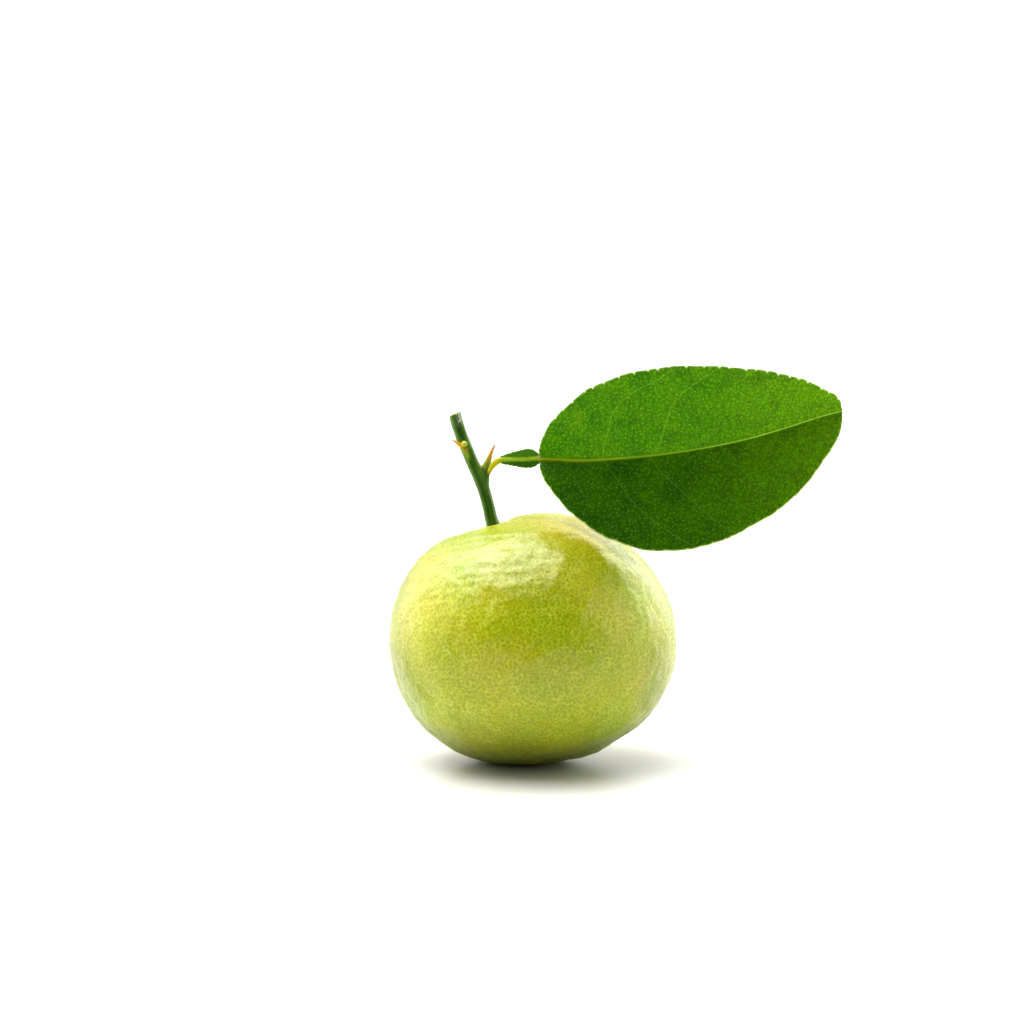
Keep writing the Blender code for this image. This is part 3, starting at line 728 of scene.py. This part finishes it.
# ---- thorns and buds -------------------------------------------------------------------
def make_thorn(name, node, points, radii, seed, stops):
    sections, count = 40, 90
    path = smooth_curve(points, count)
    at = np.linspace(0, len(radii) - 1, count)
    r = np.interp(at, range(len(radii)), radii)
    share = np.linspace(0, 1, count)
    r = r * (1 + 0.10 * bump(share, 0.10))
    r[-3:] *= (0.85, 0.6, 0.3)
    _, side, deep = frames_along(path)
    a = 2 * math.pi * np.arange(sections) / sections
    section = 1 + 0.06 * np.cos(3 * a + seed) + 0.03 * np.cos(7 * a)
    ring = path[:, None] + side[:, None] * (r[:, None] * section * np.cos(a))[..., None] + deep[:, None] * (r[:, None] * section * np.sin(a))[..., None]
    verts, faces = loft(ring)
    verts = verts + 0.008 * ripples(verts, 0.5, seed)[:, None]
    masks = dict(along=with_ends(np.broadcast_to(share[:, None], (count, sections))))
    paint = Paint(name + "_skin")
    grain = paint.noise(3.0, 3.0, 0.6, stretch=(2.0, 2.0, 0.5))
    along = paint.math("ADD", paint.attr("along"), paint.math("MULTIPLY", paint.math("SUBTRACT", grain, 0.5), 0.22))
    colour = stops[0][1]
    for (lo, _), (hi, rgb) in zip(stops, stops[1:]):
        colour = paint.mix(paint.step(along, lo, hi), colour, rgb)
    paint.set(Base_Color=colour, Roughness=paint.step(grain, 0.2, 0.8, 0.35, 0.5), IOR=1.45)
    paint.shader.inputs["Subsurface Weight"].default_value = 0.15
    paint.shader.inputs["Subsurface Radius"].default_value = (1.0, 0.5, 0.1)
    paint.shader.inputs["Subsurface Scale"].default_value = 0.0006
    paint.bumped(grain, 0.3, 0.03)
    return new_piece(name, verts, faces, masks, paint.mat, node)


def make_bud(name, node, centre, radius, stretch, seed):
    """A round bud of overlapping scales."""
    rows, sections = 56, 72
    up = unit(np.array(STEM_PATH[6]) - np.array(STEM_PATH[4]))
    forward = unit(np.array((0.0, -1.0, 0.0)) - up * -up[1])
    side = np.cross(forward, up)
    polar = math.pi * (np.arange(rows) + 0.5) / rows
    a = 2 * math.pi * np.arange(sections) / sections
    p, t = np.meshgrid(polar, a, indexing="ij")
    # Scales: each a low shell with its edge crossing the bud on a slant.
    ridge = np.zeros_like(p)
    for k, (turn0, level) in enumerate(((0.4, 1.25), (2.5, 1.05), (4.4, 0.80), (1.2, 0.55))):
        edge = level + 0.35 * np.cos(t - turn0)
        ridge += 0.022 * smooth(-0.06, 0.10, p - edge) - 0.008 * bump(p - edge, 0.06)
    r = radius * (0.97 + ridge + 0.03 * np.cos(3 * t + seed) * np.sin(p))
    d = np.cos(p)[..., None] * up * stretch + np.sin(p)[..., None] * (np.cos(t)[..., None] * forward + np.sin(t)[..., None] * side)
    ring = np.asarray(centre) + d * r[..., None]
    verts, faces = loft(ring)
    masks = dict(along=with_ends(1 - p / math.pi), edge=with_ends(np.clip(ridge / 0.10, 0, 1)), outer=with_ends(np.sin(p) * np.sin(t)))
    paint = Paint(name + "_skin")
    grain = paint.noise(4.0, 3.0)
    colour = paint.mix(paint.step(grain, 0.3, 0.7), (0.36, 0.42, 0.020), (0.46, 0.52, 0.06))
    colour = paint.mix(paint.step(paint.attr("along"), 0.50, 0.85), colour, (0.56, 0.62, 0.20))
    colour = paint.mix(paint.step(paint.attr("along"), 0.36, 0.05), colour, (0.58, 0.40, 0.02))
    colour = paint.mix(paint.step(paint.attr("outer"), 0.0, 0.85, 0.0, 0.85), colour, (0.60, 0.47, 0.006))
    colour = paint.mix(paint.math("MULTIPLY", paint.step(paint.attr("edge"), 0.2, 0.8), 0.12), colour, (0.52, 0.55, 0.16))
    paint.set(Base_Color=colour, Roughness=paint.step(grain, 0.2, 0.8, 0.55, 0.68), IOR=1.45)
    paint.shader.inputs["Specular IOR Level"].default_value = 0.25
    paint.shader.inputs["Subsurface Weight"].default_value = 0.15
    paint.shader.inputs["Subsurface Radius"].default_value = (1.0, 0.9, 0.2)
    paint.shader.inputs["Subsurface Scale"].default_value = 0.0006
    paint.bumped(grain, 0.3, 0.03)
    return new_piece(name, verts, faces, masks, paint.mat, node)


# ---- leaf tissue, shared by the wings and the blade ---------------------------------------
def leaf_shader(paint, colour, through, share, roughness, specular=0.5):
    paint.set(Base_Color=colour, Roughness=roughness, IOR=1.45)
    paint.shader.inputs["Specular IOR Level"].default_value = specular
    glow = paint.tree.nodes.new("ShaderNodeBsdfTranslucent")
    paint.put(glow.inputs["Color"], through)
    both = paint.tree.nodes.new("ShaderNodeMixShader")
    both.inputs["Fac"].default_value = share
    paint.link(paint.shader.outputs[0], both.inputs[1])
    paint.link(glow.outputs[0], both.inputs[2])
    paint.link(both.outputs[0], paint.out.inputs["Surface"])
    return glow


# ---- leaf stalk ----------------------------------------------------------------------------
def make_stalk():
    """Round at its foot, then winged like a narrow leaf, with a wrinkled joint at the blade."""
    count, half = 240, 46
    path = smooth_curve(STALK_PATH, count)
    _, side, deep = frames_along(path)
    share = np.linspace(0, 1, count)
    run = np.concatenate([[0], np.cumsum(np.linalg.norm(np.diff(path, axis=0), axis=1))])
    x = path[:, 0]
    s = np.clip((x + 4.7) / 6.05, 0, 1)  # along the winged part
    knots = (0, 0.12, 0.30, 0.50, 0.68, 0.82, 0.93, 1.0)
    top_reach = np.interp(s, knots, (0.36, 0.50, 0.69, 0.88, 1.0, 0.97, 0.70, 0.44))
    foot_reach = np.interp(s, knots, (0.46, 0.58, 0.74, 0.90, 1.0, 0.98, 0.76, 0.54))
    kernel = np.ones(11) / 11
    winged = smooth(-5.4, -4.7, x) * smooth(1.95, 1.55, x)
    top_reach = np.convolve(np.pad(top_reach, 5, mode="edge"), kernel, "valid") * winged
    foot_reach = np.convolve(np.pad(foot_reach, 5, mode="edge"), kernel, "valid") * winged
    teeth = 0.05 * np.abs(np.sin(run * 3.6)) + 0.03 * np.sin(run * 9.1 + 1)
    r = np.interp(x, (-7.4, -7.15, -6.93, -6.45, -5.75, -4.6, -3.0, 0.0, 1.2, 1.95), (0.14, 0.20, 0.29, 0.43, 0.50, 0.46, 0.37, 0.35, 0.38, 0.36))
    knob = bump(x - 1.46, 0.34)
    r = r + 0.10 * knob * (1 + 0.12 * np.cos(run * 24))
    top = np.maximum(r, 1.72 * top_reach + teeth * (top_reach > 0.3))
    foot = np.maximum(r, 1.36 * foot_reach + teeth[::-1] * (foot_reach > 0.3))
    q = np.linspace(0, 1, half)
    u = (foot - top)[:, None] / 2 - (foot + top)[:, None] / 2 * np.cos(math.pi * q)[None]
    mid, reach = (foot - top)[:, None] / 2, (foot + top)[:, None] / 2
    rib = np.sqrt(np.maximum(r[:, None] ** 2 - u**2, 0))
    plate = 0.14 * np.sqrt(np.clip(1 - (np.abs(u - mid) / reach) ** 8, 0, 1))
    v = (rib**3 + plate**3) ** (1 / 3)
    v_front = v * (1 - 0.20 * bump(u / r[:, None], 0.3) * (top_reach[:, None] > 0.2))
    lean = -0.34 * np.maximum(0.0, np.abs(u) - r[:, None] * 0.7)
    vein = 0.02 * np.cos(run[:, None] * 7.5 + 2.0 * np.abs(u)) * smooth(0.6, 1.0, np.abs(u))
    back = path[:, None] + side[:, None] * u[..., None] + deep[:, None] * (v + lean + vein)[..., None]
    front = path[:, None] + side[:, None] * u[..., None] + deep[:, None] * (-v_front + lean + vein)[..., None]
    ring = np.concatenate([back, front[:, ::-1][:, 1:-1]], 1)
    across = np.concatenate([u, u[:, ::-1][:, 1:-1]], 1)
    edge = np.concatenate([(reach - np.abs(u - mid)), (reach - np.abs(u - mid))[:, ::-1][:, 1:-1]], 1)
    verts, faces = loft(ring)
    verts = verts + 0.010 * ripples(verts, 0.6, 41)[:, None]
    n = ring.shape[1]
    along = np.broadcast_to(share[:, None], (count, n))
    wing = smooth(0.85, 1.35, np.abs(across) / r[:, None])
    foot_part = np.broadcast_to(smooth(-4.4, -5.6, x)[:, None], (count, n))
    low_part = np.broadcast_to(smooth(47.9, 46.9, path[:, 2])[:, None], (count, n))
    masks = dict(
        along=with_ends(along), wing=with_ends(wing), edge=with_ends(edge), knob=with_ends(np.broadcast_to(knob[:, None], (count, n))),
        under=with_ends(across), base=with_ends(foot_part), low=with_ends(low_part),
    )
    paint = Paint("leaf_stalk")
    grain, lines = paint.noise(2.4, 3.0), paint.noise(2.0, 3.0, 0.6, stretch=(0.5, 2.2, 2.2))
    # The rib: its paler upper half stands in part for a highlight, and its lower half is painted darker, as painted
    # shade.
    rib_colour = paint.mix(paint.step(lines, 0.3, 0.7), (0.30, 0.46, 0.008), (0.46, 0.60, 0.03))
    rib_colour = paint.mix(paint.step(paint.attr("under"), 0.04, 0.34), rib_colour, (0.14, 0.30, 0.004))
    foot_colour = paint.mix(paint.attr("low"), (0.58, 0.52, 0.006), (0.10, 0.19, 0.02))
    colour = paint.mix(paint.attr("base"), rib_colour, foot_colour)
    green = paint.mix(paint.step(grain, 0.3, 0.7), (0.026, 0.115, 0.002), (0.050, 0.18, 0.002))
    # The upper side of the wing is painted lighter, as painted light.
    green = paint.mix(paint.step(paint.attr("under"), 0.6, -0.6), green, paint.mix(0.6, green, (0.10, 0.30, 0.0)))
    colour = paint.mix(paint.attr("wing"), colour, green)
    rim = paint.math("MULTIPLY", paint.step(paint.attr("edge"), 0.16, 0.02), paint.attr("wing"))
    colour = paint.mix(paint.math("MULTIPLY", rim, 0.6), colour, (0.40, 0.55, 0.10))
    knob_colour = paint.mix(paint.step(grain, 0.35, 0.65), (0.36, 0.46, 0.05), (0.46, 0.42, 0.12))
    colour = paint.mix(paint.step(paint.attr("knob"), 0.3, 0.9, 0.0, 0.75), colour, knob_colour)
    rough = paint.step(grain, 0.2, 0.8, 0.34, 0.48)
    paint.bumped(lines, 0.35, 0.04)
    leaf_shader(paint, colour, paint.mix(0.5, colour, (0.20, 0.44, 0.0)), 0.16, rough, 0.25)
    return new_piece("leaf_stalk_winged", verts, faces, masks, paint.mat, "leaf_stalk")


# ---- leaf blade ------------------------------------------------------------------------------
TOP_VEINS = (-3.0, 4.1, 9.8, 18.3, 26.3, 33.6, 39.6, 44.0, 48.5, 54.0)
FOOT_VEINS = (-4.0, 4.0, 10.0, 17.4, 23.2, 28.6, 35.0, 40.8, 45.5, 51.0)


def make_leaf():
    """Blade folded along its midrib, with veins, quilting and a finely notched, gland-dotted margin."""
    count, half = 300, 54
    mid = smooth_curve(MIDRIB, count)
    r = np.random.default_rng(77)
    sides = []
    for upper, outline in ((True, TOP_MARGIN), (False, FOOT_MARGIN)):
        margin = smooth_curve(outline, count)
        step = np.gradient(margin, axis=0)
        length = np.linalg.norm(step, axis=1)
        run = np.concatenate([[0], np.cumsum(length)[:-1]])
        out = np.stack([step[:, 1], -step[:, 0]], 1) / length[:, None]
        if (out * (margin - mid)).sum() < 0:
            out = -out
        places, at = [], r.uniform(0.8, 1.6)
        while at < run[-1] - 0.4:
            places.append(at)
            at += r.uniform(1.3, 2.9) if upper else r.uniform(1.0, 2.3)
        gap = run[:, None] - np.array(places)[None]
        near = np.abs(gap).min(1)
        depth = np.array([r.uniform(0.6, 1.3) for _ in places])[np.abs(gap).argmin(1)]
        scallop = 0.03 * np.clip(near / 0.9, 0, 1)
        strong = (0.17 if upper else 0.05) * (smooth(9.0, 14.0, run) if upper else smooth(0.6, 2.5, run))
        offset = scallop - strong * depth * bump(near, 0.17) + (0 if upper else 0.08) * depth * bump(near, 0.15)
        offset = offset + 0.05 * np.sin(run * 0.9 + upper) + 0.03 * np.sin(run * 2.3 + 1)
        offset = offset * smooth(0.0, 1.5, run) * smooth(run[-1], run[-1] - 0.5, run)
        sides.append(dict(margin=margin + out * offset[:, None], smooth=margin, run=run, near=near, depth=depth))
    j = np.arange(-half, half + 1)
    t = np.abs(j) / half
    t = t * (0.80 + 0.20 * (2 - t)) / 1.0  # a little closer together at the margin
    t = t / t.max()
    upper = j > 0
    along = np.linspace(0, 1, count)
    margin = np.where(upper[None, :, None], sides[0]["margin"][:, None], sides[1]["margin"][:, None])
    plain = np.where(upper[None, :, None], sides[0]["smooth"][:, None], sides[1]["smooth"][:, None])
    flat = mid[:, None] + t[None, :, None] * (margin - mid[:, None])
    still = mid[:, None] + t[None, :, None] * (plain - mid[:, None])
    x, z = flat[..., 0], flat[..., 1]
    sx, sz = still[..., 0], still[..., 1]
    reach = np.linalg.norm(plain - mid[:, None], axis=2)
    inward = (1 - t)[None] * reach  # distance from the margin
    h = np.abs(sz - np.interp(sx, mid[:, 0], mid[:, 1]))  # height off the midrib

    # Side veins leave the midrib and sweep towards the tip, faster near the margin.
    width_top = np.interp(sx, sides[0]["smooth"][:, 0], sides[0]["smooth"][:, 1] - mid[:, 1])
    rise = np.interp(sx, (12, 20), (0.33, 0.50))
    start_top = sx - rise * h - 0.16 * np.maximum(0, h - 0.50 * np.maximum(width_top, 3)) ** 2
    slope = np.interp(sx, (5, 12, 22, 40), (0.33, 0.38, 0.56, 0.62))
    start_foot = sx - slope * h - 0.017 * h**2
    wander = 0.16 * ripples(np.stack([sx.ravel(), sz.ravel(), 0 * sx.ravel()], 1), 7.0, 51).reshape(sx.shape) * smooth(0.5, 3, h)
    phase_top = np.interp(start_top + wander, TOP_VEINS, np.arange(len(TOP_VEINS)))
    phase_foot = np.interp(start_foot + wander, FOOT_VEINS, np.arange(len(FOOT_VEINS)))
    up = np.broadcast_to(upper[None], sx.shape)
    phase = np.where(up, phase_top, phase_foot)
    gaps = np.where(up, np.interp(phase_top, np.arange(len(TOP_VEINS) - 1) + 0.5, np.diff(TOP_VEINS)), np.interp(phase_foot, np.arange(len(FOOT_VEINS) - 1) + 0.5, np.diff(FOOT_VEINS)))
    bend = np.where(up, rise + 0.32 * np.maximum(0, h - 0.50 * np.maximum(width_top, 3)), slope + 0.034 * h)
    spacing = gaps / np.sqrt(1 + bend**2)
    off_vein = np.abs(phase - np.round(phase)) * spacing
    known_top = np.interp(np.round(phase_top), (1, 2, 3, 4, 5, 6, 9), (0.35, 0.9, 0.9, 0.5, 0.45, 0.35, 0.2))
    known_foot = np.interp(np.round(phase_foot), (1, 2, 3, 4, 5, 6, 9), (0.3, 0.6, 0.6, 0.25, 0.45, 0.3, 0.2))
    strength = np.where(up, known_top, known_foot) * smooth(0.0, 0.8, inward)

    # Depth: the fold and bow of the construction, then relief.
    s = np.clip(along, 0, 1)
    fold = np.where(upper, FOLD_TOP, FOLD_FOOT)[None] * np.maximum(np.sin(math.pi * s), 0)[:, None] ** 0.6
    bow = (LEAF_SAG * s + LEAF_BOW * np.maximum(np.sin(math.pi * s), 0) ** 0.9)[:, None]
    y = LEAF_BASE[1] - bow - fold * t[None] ** 1.2
    probe = np.stack([sx.ravel(), sz.ravel(), 0 * sx.ravel()], 1)
    quilt = 0.5 - 0.5 * np.cos(2 * math.pi * phase)
    body = smooth(0.0, 2.5, inward) * smooth(0.2, 2.0, h)
    wave = 0.16 * ripples(probe, 11.0, 52).reshape(sx.shape) * smooth(1.0, 5.0, h) * smooth(0.03, 0.2, along)[:, None]
    wave = wave + 0.10 * np.sin(np.where(up, sides[0]["run"][:, None], sides[1]["run"][:, None]) * 1.25 + 0.6) * t[None] ** 4 * smooth(0.05, 0.2, along)[:, None]
    puff = 0.06 * quilt * body + 0.022 * ripples(probe, 1.7, 53).reshape(sx.shape) * body
    groove = 0.05 * strength * bump(off_vein, 0.24)
    ribs = np.interp(along, (0, 0.06, 0.25, 0.6, 1.0), (0.42, 0.32, 0.22, 0.14, 0.05))[:, None]
    channel_front = 0.16 * np.interp(along, (0, 0.1, 0.5, 1), (0.2, 1, 0.8, 0.3))[:, None] * bump(h, 0.75)
    crest_front = ribs * 0.55 * bump(h, ribs * 0.95 + 0.05)
    body_half = 0.14 * np.sqrt(np.clip(1 - t[None] ** 10, 0, 1)) + 0.02
    front = y - body_half - puff + groove + channel_front - crest_front + wave
    back = y + body_half - 0.55 * puff + 0.55 * channel_front + ribs * 1.0 * bump(h, ribs * 1.1 + 0.05) + 0.07 * strength * bump(off_vein, 0.25) + wave

    c, sn = math.cos(LEAF_RISE), math.sin(LEAF_RISE)
    world_x, world_z = LEAF_BASE[0] + x * c - z * sn, LEAF_BASE[2] + x * sn + z * c
    outer = np.array([0.035, 0.035])

    def rim(column, k):
        away = np.stack([world_x[:, column] - world_x[:, column - k], world_z[:, column] - world_z[:, column - k]], 1)
        away /= np.linalg.norm(away, axis=1)[:, None] + 1e-9
        return np.stack([world_x[:, column] + away[:, 0] * outer[0], (front[:, column] + back[:, column]) / 2, world_z[:, column] + away[:, 1] * outer[1]], 1)[:, None]

    faces_front = np.stack([world_x, front, world_z], -1)
    faces_back = np.stack([world_x, back, world_z], -1)
    ring = np.concatenate([faces_front, rim(-1, 1), faces_back[:, ::-1], rim(0, -1)], 1)

    def around(values):
        values = np.broadcast_to(values, sx.shape)
        return with_ends(np.concatenate([values, values[:, -1:], values[:, ::-1], values[:, :1]], 1))

    verts, faces = loft(ring)
    near = np.where(up, sides[0]["near"][:, None], sides[1]["near"][:, None])
    amount = np.where(up, sides[0]["depth"][:, None], sides[1]["depth"][:, None])
    dots = np.exp(-((near / 0.22) ** 2) - (np.maximum(inward - 0.05, 0) / 0.24) ** 2) * np.clip(amount, 0.5, 1)
    is_back = with_ends(np.concatenate([np.zeros(sx.shape), np.full((count, 1), 0.5), np.ones(sx.shape), np.full((count, 1), 0.5)], 1))
    signed = np.where(up, 1.0, -1.0) * h
    base_blotch = np.exp(-(((sx - 7.0) / 1.0) ** 2) - ((sz - 6.4) / 0.8) ** 2)
    masks = dict(
        vein_phase=around(phase), vein_spacing=around(spacing), vein_strength=around(strength),
        off_mid=around(signed), inward=around(inward), rim_dots=around(dots), back=is_back, tipward=around(np.broadcast_to(along[:, None], sx.shape)),
        blotch=around(base_blotch),
    )
    lc = np.stack([around(sx), around(sz), np.zeros(len(verts))], 1)
    masks["leaf_co"] = lc

    paint = Paint("leaf_blade")
    co = paint.attr("leaf_co", "Vector")
    clouds, mottle = paint.noise(0.16, 3.0, 0.5, vector=co), paint.noise(1.1, 4.0, 0.6, vector=co)
    fine = paint.noise(3.2, 3.0, 0.6, vector=co)
    top = paint.step(paint.attr("off_mid"), -0.25, 0.25)
    tip = paint.step(paint.attr("tipward"), 0.45, 1.0)
    # Vein lines: distance to the nearest side vein in mm.
    off = paint.math("MULTIPLY", paint.math("PINGPONG", paint.attr("vein_phase"), 0.5), paint.attr("vein_spacing"))
    line = paint.math("MULTIPLY", paint.step(off, 0.135, 0.03), paint.attr("vein_strength"))
    halo = paint.math("MULTIPLY", paint.step(off, 0.9, 0.1), paint.attr("vein_strength"))
    net = paint.cells(0.55, co, "DISTANCE_TO_EDGE").outputs["Distance"]
    fine_net = paint.math("MULTIPLY", paint.step(net, 0.05, 0.015), 0.18)
    width = paint.math("ADD", paint.math("MULTIPLY", paint.math("POWER", paint.math("SUBTRACT", 1.0, paint.attr("tipward")), 2.0), 0.16), 0.105)
    mid_line = paint.step(paint.math("DIVIDE", paint.math("ABSOLUTE", paint.attr("off_mid")), width), 1.25, 0.35)
    mid_edge = paint.step(paint.math("DIVIDE", paint.math("ABSOLUTE", paint.attr("off_mid")), width), 2.8, 1.2)
    mid_edge = paint.math("MULTIPLY", mid_edge, paint.step(paint.attr("tipward"), 0.65, 0.25, 0.08, 0.8))
    # Clear oil dots in two sizes.
    big = paint.cells(1 / 1.45, co, randomness=0.9)
    small = paint.cells(1 / 0.64, co, randomness=0.9)
    split = paint.tree.nodes.new("ShaderNodeSeparateColor")
    paint.link(big.outputs["Color"], split.inputs[0])
    big_dot = paint.math("MULTIPLY", paint.step(big.outputs["Distance"], 0.15, 0.03), paint.math("ADD", paint.math("MULTIPLY", split.outputs[0], 0.65), 0.35))
    pick = paint.tree.nodes.new("ShaderNodeSeparateColor")
    paint.link(small.outputs["Color"], pick.inputs[0])
    small_dot = paint.math("MULTIPLY", paint.step(small.outputs["Distance"], 0.26, 0.06), paint.math("ADD", paint.math("MULTIPLY", pick.outputs[0], 0.38), 0.14))
    dots_all = paint.math("MAXIMUM", big_dot, small_dot)
    ring = paint.math("MAXIMUM", paint.math("MULTIPLY", paint.step(big.outputs["Distance"], 0.34, 0.16), 0.55), paint.math("MULTIPLY", paint.step(small.outputs["Distance"], 0.30, 0.46), 0.35))
    dots_all = paint.math("MULTIPLY", dots_all, paint.step(paint.math("ABSOLUTE", paint.attr("off_mid")), 0.25, 0.7))
    tissue = paint.cells(1 / 0.42, co).outputs["Distance"]

    # Painted light and shade: the upper half of the fold takes lighter greens as if lit through it, the lower half
    # darker greens as painted shade, lightened towards its tip as painted light.
    lit_upper_green = paint.mix(paint.step(clouds, 0.38, 0.62), LEAF_UPPER_LIT_A, LEAF_UPPER_LIT_B)
    lit_upper_green = paint.mix(tip, lit_upper_green, LEAF_TIP)
    shaded_lower_green = paint.mix(paint.step(clouds, 0.38, 0.62), LEAF_LOWER_SHADED_A, LEAF_LOWER_SHADED_B)
    shaded_lower_green = paint.mix(paint.step(paint.attr("tipward"), 0.30, 1.0, 0.0, 0.85), shaded_lower_green, LEAF_LOWER_LIT_TIP)
    green = paint.mix(top, shaded_lower_green, lit_upper_green)
    patches = paint.noise(0.30, 3.0, 0.55, vector=co)
    deep = paint.math("MULTIPLY", paint.step(patches, 0.50, 0.34), 0.55)
    bright = paint.math("MULTIPLY", paint.step(patches, 0.50, 0.68), 0.5)
    # The patches below, the vein lines and the oil dots also take a lighter colour on the upper half, as painted light.
    green = paint.mix(deep, green, paint.mix(0.42, green, paint.mix(top, (0.0, 0.03, 0.012), (0.02, 0.16, 0.012))))
    green = paint.mix(bright, green, paint.mix(0.40, green, paint.mix(top, (0.08, 0.26, 0.0), (0.26, 0.48, 0.0))))
    green = paint.mix(paint.math("MULTIPLY", paint.step(mottle, 0.38, 0.66), 0.45), green, paint.mix(0.5, green, (0.0, 0.02, 0.0)))
    green = paint.mix(paint.math("MULTIPLY", paint.step(fine, 0.42, 0.66), 0.45), green, paint.mix(0.5, green, (0.15, 0.40, 0.0)))
    green = paint.mix(paint.math("MULTIPLY", paint.step(tissue, 0.15, 0.6), 0.50), green, paint.mix(0.55, green, (0.0, 0.01, 0.0)))
    green = paint.mix(ring, green, paint.mix(0.5, green, (0.0, 0.02, 0.0)))
    green = paint.mix(paint.math("MULTIPLY", halo, 0.08), green, (0.10, 0.25, 0.03))
    green = paint.mix(fine_net, green, (0.12, 0.32, 0.01))
    green = paint.mix(paint.math("MULTIPLY", line, 0.78), green, paint.mix(top, (0.14, 0.34, 0.02), (0.30, 0.56, 0.02)))
    green = paint.mix(paint.math("MULTIPLY", paint.attr("blotch"), 0.75), green, (0.26, 0.46, 0.0))
    green = paint.mix(paint.math("MULTIPLY", dots_all, paint.step(top, 0.0, 1.0, 0.62, 0.9)), green, paint.mix(top, (0.26, 0.52, 0.05), (0.42, 0.78, 0.05)))
    green = paint.mix(mid_edge, green, (0.15, 0.25, 0.0))
    mid_colour = paint.mix(paint.step(paint.attr("tipward"), 0.0, 0.35), (0.38, 0.47, 0.006), (0.32, 0.56, 0.02))
    mid_colour = paint.mix(paint.step(paint.attr("tipward"), 0.40, 0.80), mid_colour, (0.60, 0.86, 0.12))
    green = paint.mix(mid_line, green, mid_colour)
    rim_line = paint.step(paint.attr("inward"), 0.24, 0.05)
    rim_line = paint.math("MULTIPLY", rim_line, paint.step(paint.attr("off_mid"), 0.5, -0.5, 0.35, 1.0))
    green = paint.mix(paint.math("MULTIPLY", rim_line, 0.85), green, (0.60, 0.76, 0.20))
    green = paint.mix(paint.step(paint.attr("rim_dots"), 0.25, 0.7), green, (0.72, 0.80, 0.36))
    # The underside is paler and duller.
    pale = paint.mix(0.42, green, (0.16, 0.28, 0.08))
    colour = paint.mix(paint.attr("back"), green, pale)

    # The translucent colour is painted brighter on the upper half too, as painted light.
    through = paint.mix(paint.math("MULTIPLY", top, 0.65), paint.mix(0.45, green, (0.10, 0.34, 0.0)), (0.32, 0.68, 0.0))
    through = paint.mix(deep, through, paint.mix(0.45, through, (0.03, 0.20, 0.01)))
    through = paint.mix(paint.math("MULTIPLY", paint.step(tissue, 0.15, 0.6), 0.30), through, paint.mix(0.5, through, (0.0, 0.02, 0.0)))
    through = paint.mix(ring, through, paint.mix(0.5, through, (0.0, 0.04, 0.0)))
    through = paint.mix(paint.math("MULTIPLY", line, 0.3), through, (0.48, 0.78, 0.03))
    through = paint.mix(paint.math("MULTIPLY", dots_all, 0.65), through, (0.52, 0.88, 0.06))
    through = paint.mix(paint.math("MULTIPLY", mid_line, 0.7), through, mid_colour)
    through = paint.mix(paint.math("MULTIPLY", rim_line, 0.8), through, (0.70, 0.88, 0.25))
    through = paint.mix(paint.step(paint.attr("rim_dots"), 0.25, 0.7), through, (0.85, 0.95, 0.45))
    rough = paint.math("ADD", paint.step(mottle, 0.2, 0.8, 0.36, 0.46), paint.math("MULTIPLY", paint.attr("back"), 0.2))
    height = paint.math("ADD", paint.math("MULTIPLY", fine, 0.5), paint.math("ADD", paint.math("MULTIPLY", dots_all, 0.35), paint.math("MULTIPLY", line, -0.5)))
    paint.bumped(height, 0.35, 0.05)
    leaf_shader(paint, colour, through, 0.36, rough, 0.12)
    return new_piece("leaf_blade_fine", verts, faces, masks, paint.mat, "leaf_blade")


# Greens of the two halves of the fold, lit and shaded: painted light and painted shade.
LEAF_UPPER_LIT_A, LEAF_UPPER_LIT_B, LEAF_TIP = (0.14, 0.44, 0.0), (0.22, 0.53, 0.0), (0.34, 0.66, 0.0)
LEAF_LOWER_SHADED_A, LEAF_LOWER_SHADED_B, LEAF_LOWER_LIT_TIP = (0.042, 0.18, 0.001), (0.086, 0.27, 0.0), (0.26, 0.56, 0.0)

make_fruit()
make_calyx()
make_stem()
make_thorn("lower_thorn_fine", "lower_thorn", LOWER_THORN, (0.20, 0.50, 0.64, 0.47, 0.33, 0.22, 0.05), 5, ((0.21, (0.09, 0.16, 0.03)), (0.40, (0.20, 0.26, 0.01)), (0.56, (0.40, 0.34, 0.01)), (0.74, (0.66, 0.31, 0.03)), (0.87, (0.60, 0.28, 0.07)), (0.98, (0.15, 0.115, 0.09))))
make_thorn("upper_thorn_fine", "upper_thorn", UPPER_THORN, (0.45, 0.42, 0.34, 0.25, 0.15, 0.04), 8, ((0.1, (0.38, 0.38, 0.015)), (0.40, (0.70, 0.47, 0.01)), (0.72, (0.72, 0.36, 0.02)), (1.0, (0.26, 0.14, 0.08))))
make_bud("upper_bud_fine", "upper_bud", UPPER_BUD_CENTRE, 0.45, 1.1, 0.3)
make_bud("lower_bud_fine", "lower_bud", LOWER_BUD_CENTRE, 0.28, 1.2, 1.9)
make_stalk()
make_leaf()
